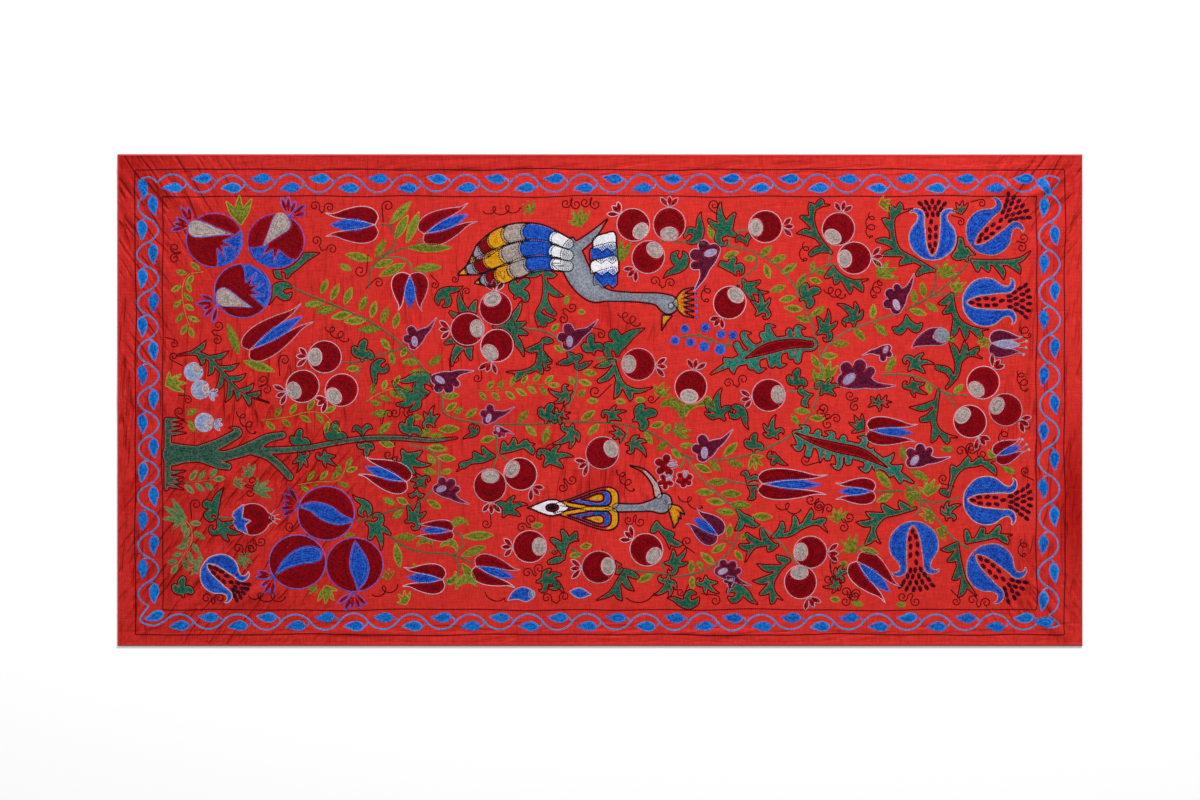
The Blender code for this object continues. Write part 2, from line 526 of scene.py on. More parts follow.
def crown(x, y, turn, lobes, spread, length, width):
    """The crown of a round fruit: a fan of lobes of uneven length."""
    parts = []
    for k in range(lobes):
        side = k - (lobes - 1) / 2
        long = length * (rng.uniform(0.85, 1.1) if side else 0.85)
        parts.append(lens(x, y, long, width, turn + spread * side + rng.uniform(-5, 5), belly=0.62))
    return parts


def small_fruit(x, y, cap, top):
    """A round fruit with a pale cap and a three-lobed crown."""
    size = SMALL_FRUIT_SIZE
    body = [ellipse(x, y, size * 1.02, size * 0.98, cap)]
    cap_parts = [ellipse(*at(x, y, 0.57 * size, cap), 0.4 * size, 0.53 * size, cap)]
    lobes = crown(*at(x, y, 0.98 * size, top), top, 3, 40, 0.92 * size, 0.31 * size)
    embroider(lobes, "maroon", "pale")
    embroider(body, "maroon", "pale", cut=cap_parts)
    embroider(cap_parts, "cream")


DROP = outline(
    [(0, 0), (0.03, 0.12), (0.16, 0.19), (0.35, 0.15), (0.65, 0.02), (1.0, -0.12)],
    [(1.0, -0.12), (0.75, -0.13), (0.45, -0.16), (0.2, -0.18), (0.05, -0.12), (0, 0)], step=0.03,
)


def drop(x, y, size, turn, fat=1.0, flip=False):
    """A drop with its round end at (x, y)."""
    return placed([DROP * (1, fat)], x, y, size, turn, flip)


def serrated_crescent(x, y, size, start, end, teeth):
    """A crescent along a fruit's rim, from one turn to another, with teeth that point inwards."""
    points = [at(x, y, 0.95 * size, start + (end - start) * t) for t in np.linspace(0, 1, 16)]
    share = (end - start) / teeth
    for k in range(teeth):
        points.append(at(x, y, 0.74 * size, end - share * (k + 0.22)))
        points.append(at(x, y, 0.30 * size, end - share * (k + 0.72)))
    points.append(at(x, y, 0.72 * size, start + 0.1 * share))
    return [np.array(points)]


def big_fruit(x, y, top, inlays):
    """A large blue-edged fruit with a crown of thin lobes, and inlays of other threads."""
    size = BIG_FRUIT_SIZE
    lobes = crown(*at(x, y, 0.96 * size, top), top, 5, 24, 0.76 * size, 0.16 * size)
    embroider(lobes, "maroon", "blue")
    for thread, parts in inlays:
        embroider(parts, thread)
    body = [ellipse(x, y, size * 1.01, size * 0.96)]
    taken = [part for _, parts in inlays for part in parts]
    embroider(body, "maroon", "blue", cut=taken, gap=0.02)


PETAL = outline(
    [(0.03, 0), (-0.03, 0.4), (0.03, 0.78), (0.17, 0.98), (0.36, 1.0), (0.6, 0.84), (0.82, 0.62),
     (1.0, 0.66)],
    [(1.0, 0.66), (0.8, 0.42), (0.55, 0.3), (0.3, 0.2), (0.03, 0)], step=0.06,
)


def tulip(x, y, length, height, turn, petals="maroon", heart="blue", edge="pale"):
    """Two petals round a lens, opening towards its turn."""
    for side in (1, -1):
        embroider(placed([PETAL * (length, side * height / 2)], x, y, turn=turn), petals, edge)
    heart_x, heart_y = at(x, y, 0.04 * length, turn)
    embroider([lens(heart_x, heart_y, 0.88 * length, 0.36 * height, turn)], heart)


HORN = outline(
    [(-0.95, 0), (-0.87, 0.4), (-0.5, 0.84), (-0.05, 0.98), (0.35, 0.9), (0.68, 0.66),
     (0.92, 0.62), (1.04, 0.8), (0.98, 0.96)],
    [(0.98, 0.96), (1.14, 0.88), (1.2, 0.66), (1.12, 0.44), (0.92, 0.33), (0.62, 0.33),
     (0.25, 0.3), (-0.2, 0.26), (-0.55, 0.17), (-0.82, 0)], step=0.06,
)
INNER_SEEDS = (
    (-0.56, 0.0), (-0.32, 0.12), (-0.26, -0.12), (0.0, 0.13), (0.06, -0.14), (0.32, 0.12),
    (0.38, -0.14), (0.66, 0.04),
)


def seed(x, y, turn):
    """A small solid oval."""
    x += rng.uniform(-0.12, 0.12)
    y += rng.uniform(-0.12, 0.12)
    embroider([ellipse(x, y, 0.76, 0.42, turn, 14)], "seed", row=0.4)


def open_fruit(x, y, turn, size, fan):
    """A fruit that has split open between two horns, with seeds in the gap and in a fan beyond."""
    body = np.vstack([HORN, (HORN * (1, -1))[::-1][1:-1]])
    embroider(placed([body], x, y, size, turn), "blue", "cream")
    spots = list(INNER_SEEDS)
    for ring in range(fan):
        for k in range(ring + 3):
            across = (k - (ring + 2) / 2) * (0.22 + 0.012 * ring)
            spots.append((0.98 + 0.25 * ring - 0.3 * across ** 2, across))
    for along, across in spots:
        (spot,) = placed([np.array([(along, across)])], x, y, size, turn)
        seed(spot[0, 0], spot[0, 1], turn + 75 * across + rng.uniform(-16, 16))


PALMETTE = (
    [(-0.1, -0.06, 0.16), (0.13, 0.0, 0.2), (0.36, 0.03, 0.15), (0.62, 0.0, 0.08), (1.04, 0.1, 0.01)],
    [(-0.02, 0.06, 0.14), (-0.12, 0.22, 0.14)],
    [(0.13, 0.1, 0.15), (0.16, 0.34, 0.15)],
    [(0.34, 0.1, 0.11), (0.42, 0.28, 0.11)],
)


def palmette(x, y, size, turn, flip, lobes):
    """A lobed flower with a pointed tail and a pale heart, which is at (x, y)."""
    strokes = [smooth(stroke, 0.1) for stroke in PALMETTE[:lobes + 1]]
    heart = placed([ellipse(0, 0, 0.16, 0.085, 55, 20)], x, y, size, turn, flip)
    embroider(placed(strokes, x, y, size, turn, flip), "plum", "lilac", cut=heart)
    embroider(heart, "lilac")


def rosette(x, y, size, petals, turn):
    """A small round-petalled flower."""
    parts = [ellipse(x, y, 0.5 * size, 0.5 * size)]
    for k in range(petals):
        middle = at(x, y, 0.62 * size, turn + 360 / petals * k)
        parts.append(ellipse(*middle, 0.36 * size, 0.34 * size))
    heart = [lens(*at(x, y, 0.1 * size, turn), 0.9 * size, 0.4 * size, turn)]
    embroider(parts, "maroon", "pale", cut=heart)
    embroider(heart, "lilac")


# Leaves: strokes of x, y and radius, with the base at (0, 0) and about 1 long towards +X
LEAVES = {
    "hook": (
        [(0, 0, 0.03), (0.08, 0.13, 0.08), (0.3, 0.2, 0.12), (0.54, 0.14, 0.1), (0.78, -0.01, 0.06),
         (1, -0.06, 0.01)],
        [(0.34, 0.18, 0.1), (0.36, -0.05, 0.09), (0.24, -0.18, 0.08), (0.08, -0.14, 0.03)],
    ),
    "bird": (
        [(0, 0, 0.04), (0.12, 0.12, 0.08), (0.32, 0.22, 0.12), (0.62, 0.27, 0.09), (1.0, 0.22, 0.01)],
        [(0.26, 0.2, 0.1), (0.22, 0.5, 0.12)],
        [(0.14, 0.14, 0.09), (-0.1, 0.34, 0.09), (-0.2, 0.14, 0.07), (-0.14, 0.02, 0.02)],
    ),
    "trefoil": (
        [(0, 0, 0.05), (0.34, 0.02, 0.11), (0.72, 0.06, 0.17), (0.9, -0.02, 0.13)],
        [(0.22, 0, 0.1), (0.34, 0.3, 0.16), (0.52, 0.42, 0.13)],
        [(0.24, 0, 0.1), (0.36, -0.28, 0.16), (0.24, -0.42, 0.12)],
    ),
    "star": (
        [(0, 0, 0.04), (0.25, 0.12, 0.1), (0.55, 0.15, 0.11), (0.85, 0.02, 0.07), (1.04, -0.16, 0.02)],
        [(0.34, 0.14, 0.09), (0.5, 0.38, 0.09), (0.76, 0.46, 0.04)],
        [(0.24, 0.12, 0.08), (0.2, 0.36, 0.09), (0.36, 0.56, 0.04)],
        [(0.2, 0.08, 0.07), (0.34, -0.12, 0.09), (0.3, -0.28, 0.06), (0.14, -0.28, 0.02)],
    ),
    "claw": (
        [(0, 0, 0.05), (0.22, 0.08, 0.1), (0.6, 0.04, 0.1), (0.86, -0.1, 0.06), (1.02, -0.26, 0.02)],
        [(0.22, 0.1, 0.09), (0.3, 0.34, 0.1), (0.14, 0.5, 0.08), (-0.02, 0.4, 0.05), (0.02, 0.28, 0.02)],
        [(0.3, 0.1, 0.09), (0.56, 0.28, 0.09), (0.82, 0.33, 0.04)],
        [(0.22, 0.04, 0.08), (0.42, -0.16, 0.09), (0.5, -0.38, 0.04)],
    ),
    "twig": (
        [(0, 0, 0.03), (0.3, 0.08, 0.07), (0.6, 0.06, 0.07), (1, -0.05, 0.01)],
        [(0.2, 0.06, 0.06), (0.25, 0.25, 0.07), (0.18, 0.36, 0.03)],
        [(0.42, 0.08, 0.06), (0.5, 0.28, 0.06), (0.56, 0.4, 0.01)],
        [(0.62, 0.05, 0.05), (0.78, 0.2, 0.05), (0.86, 0.3, 0.01)],
        [(0.35, 0.05, 0.06), (0.45, -0.14, 0.07), (0.4, -0.28, 0.03)],
        [(0.6, 0.03, 0.05), (0.72, -0.14, 0.05), (0.82, -0.24, 0.01)],
    ),
    "horns": (
        [(0, 0, 0.04), (0.28, 0.1, 0.1), (0.5, 0.36, 0.13), (0.34, 0.56, 0.05)],
        [(0, 0, 0.04), (0.3, -0.04, 0.1), (0.56, -0.28, 0.13), (0.46, -0.5, 0.05)],
    ),
    "fan": (
        [(0, 0, 0.06), (0.5, 0.05, 0.12), (1, 0.02, 0.03)],
        [(0.05, 0.02, 0.06), (0.42, 0.27, 0.11), (0.8, 0.5, 0.03)],
        [(0.05, -0.02, 0.06), (0.45, -0.2, 0.11), (0.86, -0.42, 0.03)],
        [(0.02, 0.02, 0.06), (0.14, 0.34, 0.09), (0.2, 0.64, 0.04)],
    ),
    "moon": (
        [(0, 0, 0.02), (0.16, 0.3, 0.11), (0.5, 0.46, 0.17), (0.84, 0.3, 0.11), (1, 0, 0.02)],
    ),
}


# How much fuller than its strokes a leaf is sewn, and how many points before the nearest one on a
# spine a lobe leaves it
LEAF_FULLNESS = 1.3
SWEEP = 8


def leaf(kind, x, y, size, turn, flip=False, thread="green"):
    """One leaf; a dark green leaf has a wine edge."""
    strokes = [smooth(stroke, 0.1) * (1, 1, LEAF_FULLNESS) for stroke in LEAVES[kind]]
    edge = "wine" if thread == "green" else None
    embroider(placed(strokes, x, y, size, turn, flip), thread, edge, under=True)


def lobe(root, near, tip, width, end):
    """A tongue that leaves a spine at its root and bends out to its tip."""
    beyond = tip + 0.36 * (tip - near)
    belly = 0.2 * root + 0.35 * near + 0.45 * beyond
    return smooth([(*root, 0.46 * width), (*belly, 0.9 * width), (*beyond, end)], 0.25)


def spray(spine, tips, width=0.88):
    """A long leaf: a curved spine with a lobe out to each tip, pointed or, with a radius, round."""
    spine = np.array(spine, float)
    radii = 0.76 * width * np.sin(np.linspace(0.3, math.pi - 0.06, len(spine))) ** 0.6
    curve = smooth(np.column_stack([spine, radii]), 0.3)
    parts = [curve]
    for tip in tips:
        spot = np.array(tip[:2])
        end = tip[2] if len(tip) > 2 else 0.05
        near = int(np.hypot(*(curve[:, :2] - spot).T).argmin())
        root = curve[max(0, near - SWEEP), :2]
        parts.append(lobe(root, curve[near, :2], spot, width, end))
    embroider(parts, "green", "wine", under=True)


def leaflet(x, y, turn, length, width, thread="olive"):
    """A small leaf with its middle at (x, y) and with a darker middle line."""
    shape = [lens(*at(x, y, length / 2, turn + 180), length, width, turn)]
    embroider(shape, thread, core="dark_olive", under=True)


# The leaflets of a sprig, and their turn from its stem
SPRIG_LENGTH = 2.9
SPRIG_WIDTH = 1.25
SPRIG_LEAN = 48


def sprig(points, count, thread):
    """A thin stem with leaflets in turn to its left and right, and one at its end."""
    curve = smooth(points, 0.4)
    sew(thread, curve, width=0.26)
    for k in range(count):
        spot = int((k + 0.5) / count * (len(curve) - 2))
        turn = heading(curve[spot + 1] - curve[spot]) + (SPRIG_LEAN if k % 2 else -SPRIG_LEAN)
        length = SPRIG_LENGTH * rng.uniform(0.88, 1.1)
        leaflet(*at(*curve[spot], 0.62 * length, turn), turn, length, SPRIG_WIDTH, thread)
    turn = heading(curve[-1] - curve[-2])
    leaflet(*at(*curve[-1], 0.4 * SPRIG_LENGTH, turn), turn, SPRIG_LENGTH, SPRIG_WIDTH, thread)


# A stem's two rows: how far each lies from its middle, and their width
STEM_OFFSET = 0.11
STEM_ROW_WIDTH = 0.3


def stem(points):
    """A sewn stem: two rows side by side, which stop at the fruits and flowers."""
    curve = smooth(points)
    ahead = np.gradient(curve, axis=0)
    across = np.column_stack([-ahead[:, 1], ahead[:, 0]]) / np.hypot(*ahead.T)[:, None]
    hidden = np.full(len(curve), -1.0)
    for cover in covers_near(curve.min(0), curve.max(0)):
        hidden = np.maximum(hidden, depth_in_outline(curve[:, 0], curve[:, 1], cover))
    shown = np.flatnonzero(hidden < 0)
    for run in np.split(shown, np.flatnonzero(np.diff(shown) > 1) + 1):
        for offset in (-STEM_OFFSET, STEM_OFFSET):
            if len(run) > 2:
                sew("stem", (curve + offset * across)[run], width=STEM_ROW_WIDTH)


# The width and number of turns of every curl, and the radius of joined ones
CURL_WIDTH = 0.42
CURL_TURNS = 1.7
DOUBLE_CURL_SIZE = 1.15


def spiral(x, y, size, turn, flip=False):
    """One curl, from its inner end outwards; its outer end lies at the given turn."""
    t = np.linspace(0.2, 1, 26)
    way = -1 if flip else 1
    angle = math.radians(turn) - way * 2 * math.pi * CURL_TURNS * (1 - t)
    return np.column_stack([x + size * t * np.cos(angle), y + size * t * np.sin(angle)])


def curl(x, y, size, turn):
    """A single curl with a short tail."""
    whorl = spiral(x, y, size, turn)
    out = whorl[-1] - whorl[-2]
    tail = smooth([whorl[-1] + steps * out for steps in (1, 4, 7)])
    sew("wine", np.vstack([whorl, tail]), width=CURL_WIDTH)


def double_curl(ax, ay, bx, by, bend):
    """Two curls whose outer ends meet beside the line between their middles."""
    turn = heading((bx - ax, by - ay))
    meet = np.array(at((ax + bx) / 2, (ay + by) / 2, 1.2 * DOUBLE_CURL_SIZE * bend, turn - 90))
    ends = ((ax, ay, turn - 35 * bend, bend > 0), (bx, by, turn + 180 + 35 * bend, bend < 0))
    for x, y, start, flip in ends:
        whorl = spiral(x, y, DOUBLE_CURL_SIZE, start, flip)
        join = smooth([whorl[-1], (whorl[-1] + meet) / 2 + 0.1, meet])[1:]
        sew("wine", np.vstack([whorl, join]), width=CURL_WIDTH)


def coil(start, end, loops):
    """A wavy line with loops in it."""
    start, end = np.array(start, float), np.array(end, float)
    t = np.linspace(0, 1, 22 * loops)
    angle = 2 * math.pi * loops * t + 2.2
    swell = np.sin(math.pi * t) ** 0.5
    ring = np.column_stack([np.cos(angle), np.sin(angle)]) * swell[:, None]
    sew("wine", start + (end - start) * t[:, None] + ring, width=CURL_WIDTH)


# The border

# The width of its dark lines, how far they waver and over what lengths, and the vine's width and
# that of its leaf stalks
BORDER_LINE = 0.4
WAVER = 0.09
WAVER_LENGTHS = (37.0, 19.0, 61.0)
VINE_WIDTH = 0.54
STALK_WIDTH = 0.48

# Where the two dark lines run
OUTER = dict(left=-99.2, right=99.2, top=49.2, bottom=-50.1)
INNER = dict(left=-93.4, right=93.2, top=43.5, bottom=-44.8)

# The vine on each side: its middle line's ends, its number of loops, their swing, and 1 or -1 for
# the side that the first loop swings to
Side = namedtuple("Side", "start end loops swing first")
VINE = (
    Side((-94.5, 46.3), (93.5, 46.2), 30, 1.85, 1),
    Side((96.0, 44.0), (95.8, -46.0), 15, 2.2, 1),
    Side((-93.0, -47.3), (93.5, -47.5), 30, 1.7, 1),
    Side((-96.6, 44.0), (-96.4, -44.0), 17, 2.2, -1),
)


def border_line(box):
    """One dark line round the cloth, a little unsteady."""
    corners = [
        (box["left"], box["top"]), (box["right"], box["top"]),
        (box["right"], box["bottom"]), (box["left"], box["bottom"]),
    ]
    for start, end in zip(corners, corners[1:] + corners[:1]):
        start, end = np.array(start), np.array(end)
        long = np.hypot(*(end - start))
        t = np.linspace(0, 1, max(8, int(long)))
        across = np.array([-(end - start)[1], (end - start)[0]]) / long
        phases = rng.uniform(0, 6, 3)
        wave = sum(WAVER * np.sin(2 * math.pi * t * long / length + phase)
                   for length, phase in zip(WAVER_LENGTHS, phases))
        wave *= np.sin(math.pi * t) ** 0.2
        sewn = start + (end - start) * t[:, None] + across * wave[:, None]
        sew("wine", sewn, width=BORDER_LINE)


# At each corner, the line that joins two sides of the vine, and a leaf on it: x, y, turn
CORNERS = (
    (((-94.5, 46.3), (-96.2, 47.6), (-98.4, 46.6), (-96.6, 44.0)), (-97.6, 45.0, -80)),
    (((93.5, 46.2), (95.4, 47.8), (98.0, 47.0), (96.0, 44.0)), (95.0, 45.4, -58)),
    (((93.5, -47.5), (95.6, -48.6), (98.0, -48.0), (95.8, -46.0)), (94.6, -47.3, 178)),
    (((-93.0, -47.3), (-95.4, -48.2), (-98.2, -47.0), (-96.4, -44.0)), (-95.2, -46.2, 200)),
)


# The vine's leaf, and how much larger than its outline it is sewn
LEAF_SIZE = 1.12
BORDER_LEAF = outline(
    [(-2.1, 0.0), (-1.5, 0.72), (-0.4, 1.02), (0.9, 0.62), (2.2, -0.25)],
    [(2.2, -0.25), (1.0, -0.5), (-0.3, -0.92), (-1.5, -0.7), (-2.1, 0.0)], step=0.3,
)


def border_leaf(x, y, turn, flip):
    """A blue drop with its tip at the end of its turn, and its stalk at the round end."""
    embroider(placed([BORDER_LEAF], x, y, LEAF_SIZE, turn, flip), "azure")


def vine_side(side):
    """One side of the vine: loops that pass from one side of the middle to the other."""
    start, end = np.array(side.start), np.array(side.end)
    along = (end - start) / np.hypot(*(end - start))
    across = np.array([-along[1], along[0]])
    pitch = np.hypot(*(end - start)) / side.loops
    t = np.linspace(0, 1, 12)
    upright = abs(along[1]) > 0.5
    tip_turn = -90 if upright else heading(along) + 180
    back = np.array(at(0, 0, -1, tip_turn))
    points = []
    for k in range(side.loops):
        way = side.first * (-1) ** k
        swing = side.swing * rng.uniform(0.9, 1.08)
        node = start + along * pitch * k
        wave = way * swing * np.sin(math.pi * t) ** 0.75
        arc = node + along * (pitch * t)[:, None] + across * wave[:, None]
        points.append(arc[:-1])
        centre = node + along * pitch * 0.5 - across * way * side.swing * 0.55
        border_leaf(*centre, tip_turn + rng.uniform(-6, 6), (way > 0) != upright)
        foot = node + along * pitch * (1.0 if back @ along > 0 else 0.0)
        base = centre + back * 2.1
        bend = (base + foot) / 2 - across * way * 0.4
        sew("vine", smooth([base, bend, foot]), width=STALK_WIDTH)
    points.append(end[None])
    sew("vine", np.vstack(points), width=VINE_WIDTH)


def border():
    """The two dark lines round the cloth, and the vine between them."""
    border_line(OUTER)
    border_line(INNER)
    for side in VINE:
        vine_side(side)
    for points, (x, y, turn) in CORNERS:
        sew("vine", smooth(points), width=VINE_WIDTH)
        border_leaf(x, y, turn, False)


# The design, placed one by one


# A small round fruit: its middle, and the turns to its cap and to its crown
SMALL_FRUITS = (
    (7.1, 37.4, -40, 140), (14.8, 37.5, -90, 90), (10.3, 30.5, 48, 222), (-22.3, 19.6, 110, 92),
    (-28.3, 15.1, 5, 182), (-22.0, 11.6, 225, 250), (35.3, 37.0, 184, 0), (50.9, 36.5, 235, 78),
    (54.3, 30.3, 184, 2), (27.7, 20.8, 50, 238), (-58.8, 9.2, 180, 180), (-63.5, 2.9, 205, 200),
    (-55.2, 2.1, 218, 212), (8.2, 7.6, 178, -5), (19.4, 2.8, -100, 78), (36.0, 1.0, 5, 190),
    (0.5, -11.3, 25, 214), (-17.0, -15.8, 150, -48), (-23.5, -18.3, 88, -88), (-15.0, -31.3, 0, 182),
    (-0.3, -35.7, 5, 182), (9.9, -32.0, -38, 142), (44.9, -32.5, 178, -2), (42.8, -38.9, 96, -62),
    (81.8, 3.7, 225, 55), (86.6, -2.1, 155, -35), (79.0, -4.6, 140, -58),
)
# A pale fruit: its middle, and the turns to its cap and, if it has one, to its crown
PALE_FRUITS = ((-86.8, 6.0, 40, None), (-85.3, 2.2, 10, -20), (-84.5, -4.8, -10, -8))

# An open fruit: its middle, the turn that it opens towards, its size and its fan of seeds
OPEN_FRUITS = (
    (71.0, 34.7, 90, 5.15, 3), (83.1, 35.9, 42, 5.2, 4), (82.4, 20.9, 2, 5.3, 4),
    (82.6, -21.5, -2, 5.3, 4), (67.0, -31.0, -86, 5.4, 4), (83.4, -35.9, -42, 5.4, 3),
    (-81.2, -37.2, -38, 4.4, 3),
)

# A tulip: the middle of its base, its length, height and turn
TULIPS = (
    (-47.7, 37.4, 11.2, 7.8, 180), (-75.2, 10.4, 15.5, 7.4, 33), (-37.9, 35.3, 12.0, 7.0, 24),
    (-40.6, 27.0, 8.2, 7.8, -90), (-41.0, -17.6, 11.0, 6.6, 160), (-31.4, -28.0, 7.9, 4.6, 178),
    (-33.3, -38.4, 9.0, 6.4, 176), (-26.8, -35.4, 10.0, 6.4, -17), (34.2, -17.9, 14.6, 6.6, -1),
    (58.6, -19.5, 8.6, 5.6, 180), (57.2, -6.4, 10.8, 6.0, -4), (54.6, -34.2, 11.2, 7.6, -43),
)

# A palmette: its heart, the length and turn of its tail, whether it is mirrored, and its lobes
PALMETTES = (
    (-39.6, 12.5, 6.6, 42, False, 2), (-6.5, 12.5, 7.4, 32, False, 2), (22.3, -11.3, 7.6, 34, False, 2),
    (63.3, 20.3, 7.4, 55, False, 3), (23.6, 31.4, 8.6, -108, True, 3), (-34.2, 4.3, 7.2, 20, True, 3),
    (-23.8, -3.9, 5.8, 18, False, 2), (-21.8, -6.3, 3.6, -12, True, 3),
    (-33.9, -19.0, 6.6, -34, False, 3), (26.2, -36.6, 6.6, -32, False, 3),
    (53.2, 4.5, 9.6, -14, False, 3), (61.0, 10.7, 5.0, 188, False, 2), (67.2, -12.9, 7.4, 0, False, 3),
    (28.0, -38.4, 3.2, -100, True, 2),
)
# A rosette: its middle, radius, number of petals and turn
ROSETTES = ((14.0, -14.0, 2.6, 5, 10), (14.0, -17.4, 1.9, 5, 50), (18.0, -16.9, 2.0, 6, 80))
# A berry: its middle and radius
BERRIES = (
    (18.1, 15.2, 0.95), (22.5, 15.5, 1.05), (25.8, 14.0, 0.95), (28.4, 13.8, 1.0), (16.0, 12.7, 1.0),
    (19.3, 12.3, 1.0), (22.2, 11.4, 1.15), (25.6, 10.8, 1.15),
)

# Dark leaves: kind, base, size and turn, and True where mirrored
DARK_LEAVES = (
    # top row, left to right
    ("bird", -66.8, 26.3, 8.4, 24), ("hook", -66.0, 24.0, 7.2, 212, True), ("hook", -34.5, 20.4, 6.6, 40),
    ("trefoil", -18.2, 21.8, 4.8, 56), ("claw", -25.6, 16.4, 7.6, 138),
    ("claw", -22.6, 15.8, 7.4, 28, True), ("claw", -22.4, 14.6, 7.6, -26),
    ("claw", -26.0, 13.6, 8.0, 214, True), ("trefoil", -1.3, 9.8, 4.2, 100),
    ("hook", 18.7, 33.8, 7.0, 62, True), ("claw", 28.8, 35.2, 7.2, 128), ("hook", 17.8, 31.6, 7.0, 236),
    ("horns", 31.4, 33.0, 3.8, 100), ("bird", 29.0, 26.8, 5.8, 168, True),
    ("claw", 30.6, 25.6, 5.6, -40, True), ("claw", 33.4, 18.2, 5.0, 72, True),
    ("bird", 3.7, 9.6, 8.0, 32), ("trefoil", 42.8, 21.4, 4.6, 30), ("star", 54.2, 15.8, 5.6, 118, True),
    ("claw", 46.4, 14.2, 5.4, 52, True), ("horns", 65.4, 18.0, 5.6, -88), ("fan", 77.2, 39.8, 2.8, 84),
    ("trefoil", 78.4, 29.8, 5.0, 112),
    # along the middle
    ("trefoil", -64.0, -10.2, 3.9, 92), ("trefoil", -56.4, -9.2, 4.4, 92),
    ("horns", -50.6, -7.8, 3.8, 92), ("claw", -64.4, -11.2, 4.0, -80),
    ("claw", -58.8, -10.8, 4.0, -64, True), ("trefoil", -50.2, -8.7, 3.2, -84),
    ("trefoil", -50.8, 8.4, 4.4, 84), ("hook", -46.0, 8.4, 6.2, 244, True),
    ("claw", -35.4, -5.6, 4.2, 104), ("trefoil", -40.6, -7.8, 4.4, 86), ("star", -37.0, 1.2, 7.4, 168),
    ("hook", -35.6, 2.6, 8.0, 165, True), ("hook", -26.3, -5.4, 4.2, 228),
    ("claw", -42.2, -10.8, 6.4, -40, True), ("claw", -37.3, -18.4, 3.8, 150, True),
    ("claw", -10.4, 8.0, 3.4, 160), ("star", -6.0, 1.8, 4.8, 182), ("trefoil", -11.6, -4.8, 4.2, 72),
    ("twig", -11.0, -4.7, 5.2, 26), ("star", -5.8, -5.2, 5.6, -128), ("claw", -11.8, -14.0, 6.0, 32),
    ("claw", 1.8, -4.6, 4.2, 44), ("trefoil", 7.2, -4.4, 5.0, 22), ("fan", 5.2, -7.2, 3.2, 172),
    ("star", 5.6, -9.4, 4.8, -24), ("star", 26.6, -4.2, 6.4, 104), ("hook", 28.0, -1.6, 6.0, -48),
    ("trefoil", 32.8, -11.0, 3.8, 86), ("star", 38.0, -8.2, 4.8, 104),
    ("bird", 37.2, -11.2, 4.0, -30, True), ("trefoil", 42.0, 2.6, 4.0, 88),
    ("horns", 45.4, 1.2, 4.2, 190), ("claw", 47.2, 1.2, 4.8, 34), ("claw", 66.0, 6.4, 5.2, 28),
    ("claw", 66.6, 4.6, 4.4, -60, True), ("twig", 57.4, -1.4, 5.0, 14), ("fan", 56.2, -6.4, 3.6, 120),
    ("horns", 31.6, -18.4, 4.0, -40), ("horns", 31.4, -17.8, 3.6, 62),
    # bottom row, left to right
    ("bird", -81.8, -24.8, 6.2, 64), ("claw", -81.6, -25.6, 5.6, -42, True),
    ("trefoil", -89.0, -42.0, 4.2, 92), ("hook", -49.6, -24.8, 5.6, 122, True),
    ("claw", -49.8, -26.2, 6.2, -48), ("claw", -41.4, -26.0, 5.2, 48, True),
    ("horns", -39.2, -18.9, 3.0, -96), ("claw", -20.6, -24.8, 5.4, 40), ("star", -13.4, -38.8, 5.8, -14),
    ("hook", -8.6, -39.2, 3.2, 200), ("bird", 4.4, -35.2, 5.0, 128), ("claw", 14.0, -34.8, 5.2, 22, True),
    ("star", 14.6, -37.4, 5.0, -118), ("claw", 22.6, -37.6, 4.4, -66, True),
    ("hook", 21.0, -42.2, 6.6, 184), ("hook", 27.2, -41.0, 7.0, -18), ("star", 50.4, -38.4, 3.8, 34),
    ("star", 51.0, -38.2, 3.6, 214), ("star", 74.0, -25.6, 4.4, 54),
)

# Leaves without an edge, by thread and kind: base, size and turn
PLAIN_LEAVES = {
    "sage": {
        "fan": (
            (-74.6, -16.4, 3.0, 96), (-78.2, -18.0, 2.6, 0), (-73.8, -19.4, 4.0, 2),
            (-88.6, -25.2, 5.0, 150), (-76.8, -33.0, 3.4, -70),
        ),
        "twig": (
            (-85.4, -32.6, 5.6, 250),
        ),
    },
    "olive": {
        "fan": (
            (-76.7, 37.8, 5.8, 92), (-14.6, 39.8, 3.0, 104), (-4.3, 37.0, 4.2, 84), (4.8, 29.8, 4.4, 92),
            (59.6, 41.8, 3.0, -10), (59.4, 26.4, 4.4, 22), (73.0, 26.2, 4.2, 40), (75.4, 23.2, 3.4, 34),
            (-92.6, 3.2, 4.2, 4), (12.0, 1.0, 3.4, 28), (16.0, -7.4, 3.6, 14), (48.4, 4.2, 4.2, 78),
            (-58.6, -39.8, 3.8, -92), (-45.2, -38.4, 2.6, 84), (-41.4, -43.6, 3.0, 96),
            (50.6, -26.2, 3.4, 72), (54.2, -32.4, 4.0, 106), (71.4, -24.6, 3.4, 176),
            (72.0, -27.6, 3.2, -56), (65.2, -19.6, 4.2, -38), (70.0, -20.4, 3.8, 66),
            (32.6, -11.8, 3.4, -80), (83.0, 12.8, 2.8, 190), (-60.6, -39.6, 2.6, 200),
        ),
        "moon": (
            (12.6, -1.6, 5.2, -28), (18.2, -3.6, 6.6, 12), (-31.6, -28.4, 4.0, 24),
            (-39.0, -31.6, 3.4, 6), (-34.2, -31.6, 3.8, -14), (-36.8, -34.4, 3.2, 186),
            (-30.8, -36.4, 3.6, 206), (-30.8, -40.6, 4.6, 8),
        ),
    },
}

